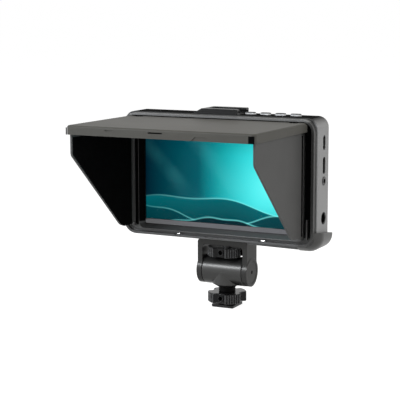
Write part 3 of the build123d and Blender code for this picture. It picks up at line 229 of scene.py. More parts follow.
def moulded(name, colour, rough, grain_scale=2600.0, grain=0.25, edge_radius=0.0004, edge_wear_and_highlight=0.35,
            metallic=0.0, specular=0.5, specular_tint=1.0, edge_gain=1.9, tint=None, dull_top=False):
    """Moulded or painted surface with a fine grain, uneven gloss and lighter edges, which are partly wear and
    partly a painted highlight.

    tint(nodes, base) may change the base colour from place to place. dull_top takes the shine
    off the faces that look up.
    """
    n = Nodes(name)
    mottle = n.noise(mottle_scale, 5.0, 0.6)
    cloud = n.noise(cloud_scale, 3.0)
    shade = tuple(c * moulded_shade for c in colour[:3]) + (1.0,)
    base = n.blend(n.spread(mottle, 0.0, 1.0), colour, shade)
    if tint is not None:
        base = tint(n, base)
    normal, edge = n.edges(edge_radius)
    # lighter edges: partly wear, partly a painted highlight
    worn_and_lit_edge = n.math("MULTIPLY", edge, n.spread(n.noise(edge_mark_scale, 3.0), 0.2, edge_wear_and_highlight), True)
    light = tuple(min(1.0, c * edge_gain + moulded_edge_lift) for c in colour[:3]) + (1.0,)
    base = n.blend(worn_and_lit_edge, base, light)
    roughness = n.spread(cloud, rough - moulded_gloss_spread, rough + moulded_gloss_spread)
    grain_height = n.math("ADD", n.noise(grain_scale, 2.0), n.cells(grain_scale * 0.8))
    surface_normal = n.bump(grain_height, grain, grain_depth, normal)
    if dull_top:
        specular = n.spread(n.upward(), specular, 0.0, top_facing_from, top_facing_to)
        metallic = n.spread(n.upward(), metallic, 0.0, top_facing_from, top_facing_to)
    n.surface(Base_Color=base, Roughness=roughness, Metallic=metallic, Specular_IOR_Level=specular,
              Specular_Tint=grey(specular_tint), Normal=surface_normal)
    return n.material


def brushed(name, colour, rough, stretch, edge_radius=0.0002):
    """Machined metal with fine lines along one direction."""
    n = Nodes(name)
    lines = n.noise(line_scale, 3.0, 0.6, stretch)
    tone = tuple(c * brushed_shade for c in colour[:3]) + (1.0,)
    base = n.blend(n.spread(lines, 0.0, 1.0), colour, tone)
    normal, edge = n.edges(edge_radius)
    light = tuple(min(1.0, c * brushed_edge_gain) for c in colour[:3]) + (1.0,)
    base = n.blend(n.math("MULTIPLY", edge, 0.5), base, light)
    roughness = n.spread(lines, rough - 0.08, rough + 0.1)
    n.surface(Base_Color=base, Roughness=roughness, Metallic=1.0,
              Normal=n.bump(lines, 0.15, line_depth, normal))
    return n.material


def flock(name):
    """Short black pile, laid where the hood lies in shade: a painted shade."""
    n = Nodes(name)
    pile = n.noise(pile_scale, 2.0, 0.7)
    tufts = n.noise(tuft_scale, 4.0, 0.6)
    deep = (0.0012, 0.0012, 0.0013, 1.0)
    raised = (0.0030, 0.0030, 0.0031, 1.0)
    base = n.blend(n.spread(tufts, 0.0, 1.0), deep, raised)
    n.surface(Base_Color=base, Roughness=n.spread(tufts, 0.92, 1.0), Specular_IOR_Level=0.02,
              Normal=n.bump(pile, 0.5, pile_depth))
    return n.material


def picture():
    """Generic picture on the panel: a teal sky that brightens to the right over low plain hills."""
    night = (0.0, 0.013, 0.026, 1.0)
    dusk_teal = (0.0, 0.13, 0.17, 1.0)
    dawn_teal = (0.012, 0.72, 0.74, 1.0)
    sky_edge = (0.0, 0.03, 0.05, 1.0)
    glow_colour = (0.14, 1.0, 1.0, 1.0)
    mist_colour = (0.12, 0.75, 0.75, 1.0)
    rim_colour = (0.22, 0.95, 0.94, 1.0)
    panel_black = (0.004, 0.004, 0.005, 1.0)
    glow_across, glow_up, glow_flatness = 0.84, 0.42, 0.6
    glow_core, glow_reach = 0.02, 0.42
    mist_slant, mist_rate, mist_strength = 0.55, 17.0, 0.16
    ripple_rate, ripple_start, ripple_height = 3.7, 2.1, 0.22
    hill_edge = 0.012
    hill_fade = 0.22
    hill_foot_shade = 0.35
    # rate, start, height, level and colour of each line of hills, back to front
    hills = (
        (3.1, 0.55, 0.11, 0.17, (0.0, 0.125, 0.15, 1.0)),
        (5.2, 2.1, 0.08, 0.09, (0.0, 0.055, 0.07, 1.0)),
        (7.7, 4.0, 0.04, 0.02, (0.0, 0.020, 0.028, 1.0)),
    )
    n = Nodes("display_picture")
    x = n.axis("X")
    z = n.axis("Z")
    across = n.spread(x, 0.0, 1.0, -picture_half_width, picture_half_width)
    up = n.spread(z, 0.0, 1.0, picture_low, picture_high)
    sky = n.blend(n.spread(across, 0.0, 1.0, 0.0, 0.5), night, dusk_teal)
    sky = n.blend(n.spread(across, 0.0, 1.0, 0.36, 0.74), sky, dawn_teal)
    # the sky is a little darker towards its top and its bottom
    rise = n.math("ABSOLUTE", n.math("SUBTRACT", up, 0.5))
    sky = n.blend(n.spread(rise, 0.0, 0.45, 0.25, 0.5), sky, sky_edge)
    # a glow at the right, a little below the middle
    dx = n.math("SUBTRACT", across, glow_across)
    dz = n.math("MULTIPLY", n.math("SUBTRACT", up, glow_up), glow_flatness)
    reach = n.math("SQRT", n.math("ADD", n.math("MULTIPLY", dx, dx), n.math("MULTIPLY", dz, dz)))
    glow = n.spread(reach, 1.0, 0.0, glow_core, glow_reach)
    sky = n.blend(n.math("MULTIPLY", glow, glow), sky, glow_colour)
    # slanting bands of mist, fainter to the left
    slant = n.math("ADD", across, n.math("MULTIPLY", up, mist_slant))
    wave = n.math("SINE", n.math("MULTIPLY", slant, mist_rate))
    drift = n.spread(n.noise(55.0, 3.0, 0.5), 0.0, 1.0)
    band = n.math("MULTIPLY", n.spread(wave, 0.0, mist_strength, 0.1, 1.0), drift)
    band = n.math("MULTIPLY", band, n.spread(across, 0.2, 1.0, 0.0, 0.6))
    shown = n.blend(band, sky, mist_colour)
    for rate, start, height, level, colour in hills:
        curve = n.math("SINE", n.math("ADD", n.math("MULTIPLY", across, rate), start))
        ripple = n.math("ADD", n.math("MULTIPLY", across, rate * ripple_rate), start * ripple_start)
        ripple = n.math("MULTIPLY", n.math("SINE", ripple), height * ripple_height)
        top = n.math("ADD", n.math("MULTIPLY", curve, height), ripple)
        top = n.math("ADD", top, level)
        under = n.math("SUBTRACT", top, up)
        foot = tuple(c * hill_foot_shade for c in colour[:3]) + (1.0,)
        ground = n.blend(n.spread(under, 0.0, 0.7, 0.0, hill_fade), colour, foot)
        shown = n.blend(n.spread(under, 0.0, 1.0, 0.0, hill_edge), shown, ground)
        rim = n.spread(n.math("ABSOLUTE", under), 0.6, 0.0, 0.0, hill_edge)
        rim = n.math("MULTIPLY", rim, n.spread(across, 0.22, 1.0, 0.0, 0.55))
        shown = n.blend(rim, shown, rim_colour)
    # only the picture's own area is lit
    side = n.math("LESS_THAN", n.math("ABSOLUTE", x), picture_half_width)
    low = n.math("GREATER_THAN", z, picture_low)
    high = n.math("LESS_THAN", z, picture_high)
    lit = n.math("MULTIPLY", n.math("MULTIPLY", side, low), high)
    shader = n.surface(Base_Color=panel_black, Roughness=0.35, Specular_IOR_Level=0.0)
    n.link(shown, shader.inputs["Emission Color"])
    n.link(lit, shader.inputs["Emission Strength"])
    return n.material


def window_glass():
    """Clear glass with a faint coated reflection."""
    n = Nodes("cover_glass")
    clear = n.add("ShaderNodeBsdfTransparent", Color=(0.97, 0.98, 0.98, 1.0))
    gloss = n.add("ShaderNodeBsdfGlossy", Color=(1.0, 1.0, 1.0, 1.0))
    n.link(n.spread(n.noise(120.0), 0.0, 0.02), gloss.inputs["Roughness"])
    fresnel = n.add("ShaderNodeFresnel", IOR=1.09)
    mix = n.add("ShaderNodeMixShader")
    n.link(fresnel.outputs["Fac"], mix.inputs["Fac"])
    n.link(clear.outputs["BSDF"], mix.inputs[1])
    n.link(gloss.outputs["BSDF"], mix.inputs[2])
    n.link(mix.outputs["Shader"], n.output.inputs["Surface"])
    return n.material


def button_plastic():
    """Coated plastic of the buttons, with bright hazy sides that are partly the plastic and partly a painted
    highlight, dark tops and darker edges.
    """
    pale_side_highlight = (0.75, 0.76, 0.76, 1.0)
    hazy_side_highlight = (0.30, 0.30, 0.30, 1.0)
    dark = (0.02, 0.02, 0.02, 1.0)
    dark_edge = (0.05, 0.05, 0.05, 1.0)
    n = Nodes("button_plastic")
    haze = n.noise(300.0, 3.0)
    normal, edge = n.edges(0.0003)
    on_top = n.spread(n.upward(), 0.0, 1.0, 0.1, 0.4)
    base = n.blend(on_top, n.blend(n.spread(haze, 0.0, 1.0), hazy_side_highlight, pale_side_highlight), dark)
    base = n.blend(n.math("MULTIPLY", edge, 0.5), base, dark_edge)
    n.surface(Base_Color=base, Roughness=n.spread(haze, 0.30, 0.42),
              Specular_IOR_Level=n.spread(on_top, 0.12, 0.02),
              Normal=n.bump(haze, 0.08, grain_depth, normal))
    return n.material


def laminate():
    """Green circuit board with faint paler traces."""
    green = (0.01, 0.08, 0.04, 1.0)
    trace = (0.02, 0.16, 0.07, 1.0)
    n = Nodes("board_laminate")
    traces = n.noise(500.0, 2.0, 0.5, (1.0, 1.0, 0.15))
    base = n.blend(n.spread(traces, 0.0, 1.0, 0.48, 0.52), green, trace)
    n.surface(Base_Color=base, Roughness=n.spread(traces, 0.3, 0.45), Normal=n.bump(traces, 0.2, grain_depth))
    return n.material


def shell_tones(n, base):
    """The side wall of the body is painted paler than its back, and its top wall is darker as a painted
    shade.
    """
    base = n.blend(n.spread(n.upward(), 0.0, 1.0, top_facing_from, top_facing_to), base, top_wall_painted_shade)
    outwards = n.math("ABSOLUTE", n.axis("X"))
    return n.blend(n.spread(outwards, 0.0, 1.0, side_tone_from, side_tone_to), base, side_wall)


def frame_tones(n, base):
    """The hood frame carries painted light on its low bar and a painted highlight along the top of its rim.
    """
    outwards = n.math("ABSOLUTE", n.axis("X"))
    inside = n.spread(outwards, 1.0, 0.0, low_tone_half_width - low_tone_side_fade, low_tone_half_width)
    low = n.spread(n.axis("Z"), 1.0, 0.0, low_tone_z, low_tone_z + low_tone_fade)
    base = n.blend(n.math("MULTIPLY", inside, low), base, low_bar_painted_light)
    high = n.spread(n.axis("Z"), 0.0, 1.0, high_tone_z, high_tone_z + high_tone_fade)
    return n.blend(high, base, rim_painted_highlight)


def wheel_tones(n, base):
    """The lands between a hand wheel's grip grooves carry a painted highlight, and the grooves a black
    painted shade.
    """
    across = n.math("MULTIPLY", n.axis("X"), n.axis("X"))
    along = n.math("MULTIPLY", n.axis("Y"), n.axis("Y"))
    radius = n.math("SQRT", n.math("ADD", across, along))
    groove = n.spread(radius, 0.0, 1.0, wheel_groove_floor - wheel_tone_fade, wheel_groove_floor)
    base = n.blend(groove, base, groove_painted_shade)
    land = n.spread(radius, 0.0, 1.0, wheel_land - wheel_tone_fade, wheel_land)
    return n.blend(land, base, land_painted_highlight)


hood_colour = grey(0.028, 0.02)
# the hood's edges carry a strong painted highlight
hood_look = {"edge_radius": 0.0007, "edge_wear_and_highlight": 0.9, "specular": 0.35, "edge_gain": 3.0}
hood = moulded("hood_plastic", hood_colour, 0.34, **hood_look)
frame_finish = moulded("hood_frame_plastic", hood_colour, 0.34, tint=frame_tones, **hood_look)
lid_finish = moulded("hood_lid_plastic", grey(0.046, 0.08), 0.52, specular=0.12)
flap_finish = moulded("flap_plastic", grey(0.052, 0.015), 0.5, specular=0.1)
shell = moulded("shell_plastic", grey(0.034, 0.01), 0.45, grain_scale=3200.0, grain=0.12, edge_wear_and_highlight=0.4,
                metallic=0.1, specular=0.12, tint=shell_tones, dull_top=True)
anodised = moulded("grey_anodised", grey(0.034, 0.02), 0.31, grain_scale=3600.0, grain=0.10, edge_wear_and_highlight=0.6,
                   metallic=0.6, specular=0.1, specular_tint=0.75)
barrel_finish = moulded("barrel_anodised", grey(0.045, 0.02), 0.33, grain_scale=3600.0, grain=0.10,
                        edge_wear_and_highlight=0.6, metallic=0.7, specular=0.2)
# the wheel's edges carry a strong painted highlight
wheel = moulded("black_wheel", grey(0.004), 0.22, grain_scale=1800.0, grain=0.1, edge_radius=0.00025,
                edge_wear_and_highlight=1.3, specular=0.16, edge_gain=40.0, tint=wheel_tones)
black_metal = moulded("black_metal", grey(0.006), 0.34, grain_scale=2600.0, grain=0.15, edge_wear_and_highlight=0.55,
                      specular=0.25)
black_plastic = moulded("black_plastic", grey(0.005), 0.45, edge_wear_and_highlight=0.3, specular=0.2)
rubber = moulded("pad_rubber", grey(0.02), 0.7, grain_scale=1500.0, grain=0.5, edge_wear_and_highlight=0.2, specular=0.3)
white = moulded("white_diffuser", grey(0.8), 0.6, edge_wear_and_highlight=0.1)
resin = moulded("chip_resin", grey(0.02), 0.5)
film = moulded("ribbon_film", (0.35, 0.16, 0.03, 1.0), 0.4)
steel = brushed("steel", (0.56, 0.56, 0.57, 1.0), 0.3, (1.0, 8.0, 1.0))
bright = brushed("bright_metal", (0.72, 0.72, 0.73, 1.0), 0.16, (6.0, 1.0, 1.0))
aluminium = brushed("plain_aluminium", (0.7, 0.7, 0.72, 1.0), 0.36, (1.0, 1.0, 8.0))
brass = brushed("brass", (0.78, 0.57, 0.27, 1.0), 0.28, (1.0, 1.0, 8.0))
gold = brushed("gold_contact", (0.85, 0.62, 0.26, 1.0), 0.2, (1.0, 6.0, 1.0))
cap = button_plastic()
board = laminate()
glass = window_glass()
screen = picture()
# black flock sheets stand for the shade inside the hood: painted shade
shade_lining = flock("painted_shade_flock")
border_ink = moulded("border_ink", (0.062, 0.062, 0.072, 1.0), 0.15, grain=0.02, edge_wear_and_highlight=0.2, specular=0.8)
# near black: partly the sockets' own black, partly a painted shade in their hollows, round the buttons and on
# the collar
black_and_painted_shade = moulded("black_and_painted_shade", grey(0.0012), 0.55, grain=0.05, edge_wear_and_highlight=0.05, specular=0.05)
ring_metal = brushed("ring_metal", (0.028, 0.028, 0.028, 1.0), 0.15, (6.0, 1.0, 1.0))
pad_steel = brushed("pad_steel", (0.62, 0.62, 0.62, 1.0), 0.22, (6.0, 1.0, 1.0))

finishes = {
    "hood_plastic": hood, "shell_plastic": shell, "cover_glass": glass,
    "display_panel": screen, "white_diffuser": white, "grey_aluminium": anodised,
    "plain_aluminium": aluminium, "black_wheel": wheel, "black_metal": black_metal, "steel": steel,
    "bright_metal": bright, "brass": brass, "gold_contact": gold, "pad_rubber": rubber,
    "board_laminate": board, "chip_resin": resin, "ribbon_film": film, "button_cap": cap,
    "black_plastic": black_plastic,
}
# subparts whose finish differs from their slot's; the near-black socket finish is partly the parts' own black
# and partly a painted shade
own_finish = {
    "hood_frame": frame_finish, "hood_lid": lid_finish, "left_flap": flap_finish,
    "right_flap": flap_finish, "data_port": black_and_painted_shade, "video_port": black_and_painted_shade,
    "audio_jack": black_and_painted_shade, "dc_jack": black_and_painted_shade, "audio_collar": ring_metal,
    "swivel_collar": black_and_painted_shade, "stem": black_metal, "tilt_barrel": barrel_finish,
}
for part in frame["record"]["subparts"]:
    node = nodes[part["node"]]
    node.data.materials.clear()
    node.data.materials.append(own_finish.get(part["node"], finishes[part["material_slot"]]))

# ---------------------------------------------------------------- extra pieces


def add_piece(name, mesh_builder, body, material):
    """Turn a bmesh into a piece that rides on a body."""
    mesh = bpy.data.meshes.new(name)
    bmesh.ops.recalc_face_normals(mesh_builder, faces=mesh_builder.faces)
    mesh_builder.to_mesh(mesh)
    mesh_builder.free()
    piece = bpy.data.objects.new(name, mesh)
    bpy.context.scene.collection.objects.link(piece)
    mesh.materials.append(material)
    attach(piece, body)
    return piece


def sheet_between(outline, lift):
    """A closed thin sheet: the outline's points, and the same points moved by lift."""
    bm = bmesh.new()
    near = [bm.verts.new(point) for point in outline]
    far = [bm.verts.new(Vector(point) + Vector(lift)) for point in outline]
    bm.faces.new(near)
    bm.faces.new(far[::-1])
    count = len(outline)
    for i in range(count):
        j = (i + 1) % count
        bm.faces.new((near[i], near[j], far[j], far[i]))
    return bm


# Places and sizes in metres, angles in degrees. Those of the solids are copied from the part's
# source; the rest are the pieces' own.

# the least gap under a thin piece, and the least straight left in a rounded end
hair = 0.00001

# flock linings, a painted shade
lining_inset = 0.0010
lining_depth = 0.00010
lining_gap = 0.00003

# side flaps of the hood
flap_axis_x = 0.0679
flap_inner_x = 0.06775
flap_front = -0.1066
flap_tip_y = -0.0399
flap_tip_radius = 0.013
flap_low = 0.0606
flap_kink_z = 0.1226
flap_high = 0.1352
flap_rear_gap = 0.0035
flap_toe_out = 0.7
left_axis_y = -0.02155
right_axis_y = -0.02395

# lid of the hood, in its own frame apart from the two axis values
lid_axis_y = -0.0233
lid_axis_z = 0.1393
lid_rise = 0.45
lid_inner_half_width = 0.07055
lid_skin_low = 0.0026
lid_lining_front = -0.0845
lid_lining_rear = -0.0040
lip_front_y = -0.0868
lip_pad_height = 0.0050
lip_pad_thickness = 0.00012
lip_pad_sink = 0.00005
# name, first and last x of each pad on the lid's front lip
lip_pads = (("lid_pad_right", 0.0668, 0.0712), ("lid_pad_left", -0.0715, -0.0706))
latch_block_size = (0.0118, 0.0012, 0.0020)
latch_block_x = -0.00155
latch_block_behind_lip = 0.0021
latch_block_z = 0.0014
latch_block_bevel = 0.0002

# printed border of the screen
border_x = 0.06122
border_low = 0.0614
border_high = 0.1344
border_thickness = 0.00002

# hood frame: its groove, its inner bar and the slope down to the glass
frame_front_y = -0.0200
glass_front_y = -0.0155
groove_outer_x = 0.0747
groove_low = 0.0555
groove_high = 0.1436
groove_outer_radius = 0.0067
groove_inner_x = 0.0691
groove_inner_radius = 0.0041
groove_floor_y = -0.0170
groove_lining_gap = 0.00002
groove_lining_depth = 0.00008
groove_lining_rise = 0.004
bar_low = 0.0576
bar_high = 0.1384
bar_half_width = 0.0690
bar_lining_rise = 0.0030
bar_lining_end = 0.0002
slope_front_x = 0.06445
slope_rear_x = 0.06130
slope_low = 0.0630
slope_high = 0.1328
slope_lining_end = 0.0001

# bright pads on the hood frame; pill_rounding is a share of a pad's least size
# x and width of each pad on the low rim
rim_pads = ((-0.0312, 0.0026), (0.0378, 0.0036))
rim_pad_y = -0.0190
rim_pad_z = 0.0559
rim_pad_depth = 0.0007
rim_pad_height = 0.0010
hinge_cover_x = 0.0620
hinge_cover_y = -0.0189
hinge_cover_z = 0.14245
hinge_cover_size = (0.0054, 0.0026, 0.0003)
pill_rounding = 0.38

# sockets and buttons of the body, and the seals round them
body_side_x = 0.0782
body_top_z = 0.1462
port_y = -0.0032
port_gasket_width = 0.0005
port_gasket_depth = 0.00005
# name, centre height, length and width of each socket that has a seal
sockets = (
    ("data", 0.1280, 0.0094, 0.0034),
    ("video", 0.1116, 0.0112, 0.0036),
    ("dc", 0.0732, 0.0079, 0.0079),
)
button_count = 4
button_first_x = 0.0212
button_pitch = 0.0119
button_y = -0.0046
button_half_length = 0.0041
button_half_width = 0.0024
button_corner = 0.00239
button_gasket_outer = 0.0008
button_gasket_inner = 0.00015
button_gasket_depth = 0.00025

# battery latch's spring
spring_wire_radius = 0.00018
spring_pitch = 0.0012
spring_steps_per_turn = 16
spring_wire_sides = 8


def arc(centre, radius, first, last, steps):
    """Points along an arc, angles in degrees."""
    points = []
    for i in range(steps + 1):
        angle = math.radians(first + (last - first) * i / steps)
        points.append((centre[0] + radius * math.cos(angle), centre[1] + radius * math.sin(angle)))
    return points


def flap_lining(name, side, axis_y, body):
    """Black flock on a flap's inner face, a little smaller than the flap: a painted shade."""
    slant = math.atan2(flap_kink_z - flap_low, flap_tip_y - flap_front)
    low = flap_low + lining_inset
    front = flap_front + lining_inset
    tip = flap_tip_y + lining_inset * math.tan(slant / 2)
    radius = flap_tip_radius - lining_inset
    set_back = radius * math.tan(slant / 2)
    outline = [(axis_y - flap_rear_gap, flap_high), (axis_y - flap_rear_gap, low)]
    outline += arc((tip + set_back, low + radius), radius, -90.0, -90.0 - math.degrees(slant), 8)
    kink = flap_kink_z + lining_inset * (1 - math.sin(slant)) / math.cos(slant)
    outline += [(front, kink), (front, flap_high)]
    inner_x = side * flap_inner_x
    points = [(inner_x - side * lining_gap, y, z) for y, z in outline]
    bm = sheet_between(points, (-side * lining_depth, 0.0, 0.0))
    hinge = Vector((side * flap_axis_x, axis_y, 0.0))
    opened = Matrix.Rotation(math.radians(side * flap_toe_out), 4, "Z")
    bm.transform(Matrix.Translation(hinge) @ opened @ Matrix.Translation(-hinge))
    add_piece(name, bm, body, shade_lining)


flap_lining("left_flap_lining", -1, left_axis_y, "left_flap")
flap_lining("right_flap_lining", 1, right_axis_y, "right_flap")


def raise_with_lid(bm):
    """Bring a piece made in the lid's own frame, at its hinge, to where the lid rests."""
    raised = Matrix.Rotation(-math.radians(lid_rise), 4, "X")
    bm.transform(Matrix.Translation((0.0, lid_axis_y, lid_axis_z)) @ raised)


def lid_lining():
    """Black flock under the lid's skin, between its lips: a painted shade."""
    half = lid_inner_half_width - lining_inset
    low = lid_skin_low - lining_gap
    outline = [(-half, lid_lining_front, low), (half, lid_lining_front, low),
               (half, lid_lining_rear, low), (-half, lid_lining_rear, low)]
    bm = sheet_between(outline, (0.0, 0.0, -lining_depth))
    raise_with_lid(bm)
    add_piece("lid_lining", bm, "lid", shade_lining)


def pill(name, centre, size):
    """A small bright pad on the monitor with every edge rounded."""
    bm = bmesh.new()
    bmesh.ops.create_cube(bm, size=1.0)
    bmesh.ops.scale(bm, vec=size, verts=bm.verts)
    bmesh.ops.bevel(bm, geom=bm.edges, offset=min(size) * pill_rounding, segments=2,
                    affect="EDGES", profile=0.5)
    bmesh.ops.translate(bm, vec=centre, verts=bm.verts)
    add_piece(name, bm, "monitor", pad_steel)


def rounded_ring(half_width, low, high, radius, steps=6):
    """Points of a rounded rectangle in X and Z, anticlockwise from the lower right corner."""
    corners = ((half_width - radius, low + radius, -90.0), (half_width - radius, high - radius, 0.0),
               (radius - half_width, high - radius, 90.0), (radius - half_width, low + radius, 180.0))
    points = []
    for x, z, first in corners:
        points += arc((x, z), radius, first, first + 90.0, steps)
    return points


def ring_strip(name, outer, inner, place, thickness, shown, material):
    """A thin strip on the monitor between two outlines of as many points each.

    place(first, second, depth) turns an outline's two numbers and a depth into a point, and
    shown(first, second) says whether the stretch between two points of the outer one is kept.
    """
    bm = bmesh.new()
    rows = []
    for depth in (0.0, thickness):
        rows.append([[bm.verts.new(place(a, b, depth)) for a, b in ring] for ring in (outer, inner)])
    count = len(outer)
    kept = [i for i in range(count) if shown(outer[i], outer[(i + 1) % count])]
    for i in kept:
        j = (i + 1) % count
        for row in rows:
            bm.faces.new((row[0][i], row[0][j], row[1][j], row[1][i]))
        for ring in (0, 1):
            bm.faces.new((rows[0][ring][i], rows[0][ring][j], rows[1][ring][j], rows[1][ring][i]))
        if (i - 1) % count not in kept:
            bm.faces.new((rows[0][0][i], rows[1][0][i], rows[1][1][i], rows[0][1][i]))
        if j not in kept:
            bm.faces.new((rows[0][0][j], rows[1][0][j], rows[1][1][j], rows[0][1][j]))
    for vert in [v for v in bm.verts if not v.link_faces]:
        bm.verts.remove(vert)
    add_piece(name, bm, "monitor", material)


def above(level):
    """Keep the stretches of an outline whose two ends are above a level."""
    return lambda a, b: a[1] > level and b[1] > level


def everywhere(_first, _second):
    """Keep the whole outline."""
    return True


def screen_border():
    """The dark printed border round the lit picture."""
    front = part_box("cover_glass")[0][1]
    outer = [(-border_x, border_low), (border_x, border_low),
             (border_x, border_high), (-border_x, border_high)]
    inner = [(-picture_half_width, picture_low), (picture_half_width, picture_low),
             (picture_half_width, picture_high), (-picture_half_width, picture_high)]
    ring_strip("screen_border", outer, inner, lambda x, z, depth: (x, front - hair - depth, z),
               border_thickness, everywhere, border_ink)


def groove_lining():
    """Black flock on the floor of the groove, up both sides and along the top: a painted shade."""
    outer = rounded_ring(groove_outer_x, groove_low, groove_high, groove_outer_radius)
    inner = rounded_ring(groove_inner_x, bar_low, bar_high, groove_inner_radius)
    floor_y = groove_floor_y - groove_lining_gap
    ring_strip("groove_lining", outer, inner, lambda x, z, depth: (x, floor_y - depth, z),
               groove_lining_depth, above(groove_low + groove_lining_rise), shade_lining)


def bar_lining():
    """Black flock on the inner bar's front and on the slope down to the glass, at the two sides: a painted
    shade.
    """
    run = Vector((slope_rear_x - slope_front_x, glass_front_y - frame_front_y)).normalized()
    off = Vector((-run.y, run.x))
    front = frame_front_y - lining_gap
    slope_first = Vector((slope_front_x, frame_front_y)) + run * slope_lining_end + off * lining_gap
    slope_last = Vector((slope_rear_x, glass_front_y)) - run * slope_lining_end + off * lining_gap
    # name, first and last (x, y), lift, lowest and highest z
    spans = (
        ("bar", (bar_half_width - bar_lining_end, front), (slope_front_x + bar_lining_end, front),
         (0.0, -lining_depth), bar_low + bar_lining_rise, bar_high - bar_lining_rise),
        ("slope", slope_first, slope_last, off * lining_depth, slope_low, slope_high),
    )
    for side, name in ((-1, "left"), (1, "right")):
        for part, first, last, lift, low, high in spans:
            corners = ((first, low), (last, low), (last, high), (first, high))
            outline = [(side * x, y, z) for (x, y), z in corners]
            bm = sheet_between(outline, (side * lift[0], lift[1], 0.0))
            add_piece("%s_%s_lining" % (name, part), bm, "monitor", shade_lining)


def port_gaskets():
    """Black seals set on the side wall round the sockets; their black is a painted shade that widens the dark
    openings.
    """
    for name, centre_z, length, width in sockets:
        rings = []
        for grow in (port_gasket_width, 0.0):
            half = width / 2 + grow
            rings.append(rounded_ring(half, centre_z - length / 2 - grow, centre_z + length / 2 + grow,
                                      half - hair))
        ring_strip("%s_gasket" % name, rings[0], rings[1],
                   lambda y, z, depth: (body_side_x + hair + depth, port_y + y, z),
                   port_gasket_depth, everywhere, black_and_painted_shade)


def button_gaskets():
    """Black rubber seals on the top wall round the buttons; their black is a painted shade of the gaps."""
    for index in range(button_count):
        x = button_first_x + index * button_pitch
        rings = [rounded_ring(button_half_width + grow, x - button_half_length - grow,
                              x + button_half_length + grow, button_corner + grow)
                 for grow in (button_gasket_outer, button_gasket_inner)]
        ring_strip("button_%d_gasket" % (index + 1), rings[0], rings[1],
                   lambda y, x, depth: (x, button_y + y, body_top_z + hair + depth),
                   button_gasket_depth, everywhere, black_and_painted_shade)


def coil_spring():
    """The battery latch's spring, which shortens as the latch slides down onto it; here it is a fixed coil
    that keeps its length.
    """
    low, high = (Vector(corner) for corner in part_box("latch_spring"))
    centre = (low + high) / 2
    radius = (high.x - low.x) / 2 - spring_wire_radius
    rise = high.z - low.z - 2 * spring_wire_radius
    steps = round(rise / spring_pitch * spring_steps_per_turn)
    sides = spring_wire_sides
    around = arc((0.0, 0.0), spring_wire_radius, 0.0, 360.0 * (sides - 1) / sides, sides - 1)
    bm = bmesh.new()
    rings = []
    for i in range(steps + 1):
        angle = 2 * math.pi * i / spring_steps_per_turn
        outward = Vector((math.cos(angle), math.sin(angle), 0.0))
        middle = Vector((centre.x, centre.y, low.z + spring_wire_radius + rise * i / steps))
        middle += outward * radius
        rings.append([bm.verts.new(middle + outward * a + Vector((0.0, 0.0, b))) for a, b in around])
    for first, second in zip(rings, rings[1:]):
        for i in range(sides):
            j = (i + 1) % sides
            bm.faces.new((first[i], first[j], second[j], second[i]))
    bm.faces.new(rings[0])
    bm.faces.new(rings[-1][::-1])
    for face in bm.faces:
        face.smooth = True
    spring = add_piece("latch_coil", bm, "monitor", steel)
    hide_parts("latch_spring")
    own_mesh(spring)


def lid_latch_block():
    """The dark catch seen behind the slot in the lid's front lip; its black is a painted shade."""
    bm = bmesh.new()
    bmesh.ops.create_cube(bm, size=1.0)
    bmesh.ops.scale(bm, vec=latch_block_size, verts=bm.verts)
    bmesh.ops.bevel(bm, geom=bm.edges, offset=latch_block_bevel, segments=1, affect="EDGES")
    place = (latch_block_x, lip_front_y + latch_block_behind_lip, latch_block_z)
    bmesh.ops.translate(bm, vec=place, verts=bm.verts)
    raise_with_lid(bm)
    add_piece("lid_latch_block", bm, "lid", shade_lining)


def corner_pad(name, start, end):
    """Black pad set on the lid's front lip beside a corner: a painted shade."""
    bm = bmesh.new()
    bmesh.ops.create_cube(bm, size=1.0)
    bmesh.ops.scale(bm, vec=(end - start, lip_pad_thickness, lip_pad_height), verts=bm.verts)
    bmesh.ops.translate(bm, vec=((start + end) / 2, lip_front_y + lip_pad_sink, 0.0), verts=bm.verts)
    raise_with_lid(bm)
    add_piece(name, bm, "lid", shade_lining)


lid_lining()
screen_border()
groove_lining()
bar_lining()
port_gaskets()
button_gaskets()
lid_latch_block()
coil_spring()
for name, start, end in lip_pads:
    corner_pad(name, start, end)
for side, name in ((-1, "left"), (1, "right")):
    pill("hinge_cover_%s" % name, (side * hinge_cover_x, hinge_cover_y, hinge_cover_z), hinge_cover_size)
for index, (x, width) in enumerate(rim_pads):
    pill("rim_pad_%d" % index, (x, rim_pad_y, rim_pad_z), (width, rim_pad_depth, rim_pad_height))

# -------------------------------------------------------------- floor and light

floor_half = 40.0
floor_glow = 1.32
floor_glow_share = 0.7
world_light = 0.28
world_seen = 1.0
plain_white = (1.0, 1.0, 1.0, 1.0)


def seen_rays(tree):
    """1 for camera, glossy and transmission rays, which see the white background, else 0."""
    rays = tree.nodes.new("ShaderNodeLightPath").outputs
    seen = rays["Is Camera Ray"]
    for other in ("Is Glossy Ray", "Is Transmission Ray"):
        either = tree.nodes.new("ShaderNodeMath")
        either.operation = "MAXIMUM"
        tree.links.new(seen, either.inputs[0])
        tree.links.new(rays[other], either.inputs[1])
        seen = either.outputs["Value"]
    return seen


def background(tree, strength):
    """A plain white background of one strength."""
    node = tree.nodes.new("ShaderNodeBackground")
    node.inputs["Color"].default_value = plain_white
    node.inputs["Strength"].default_value = strength
    return node.outputs["Background"]


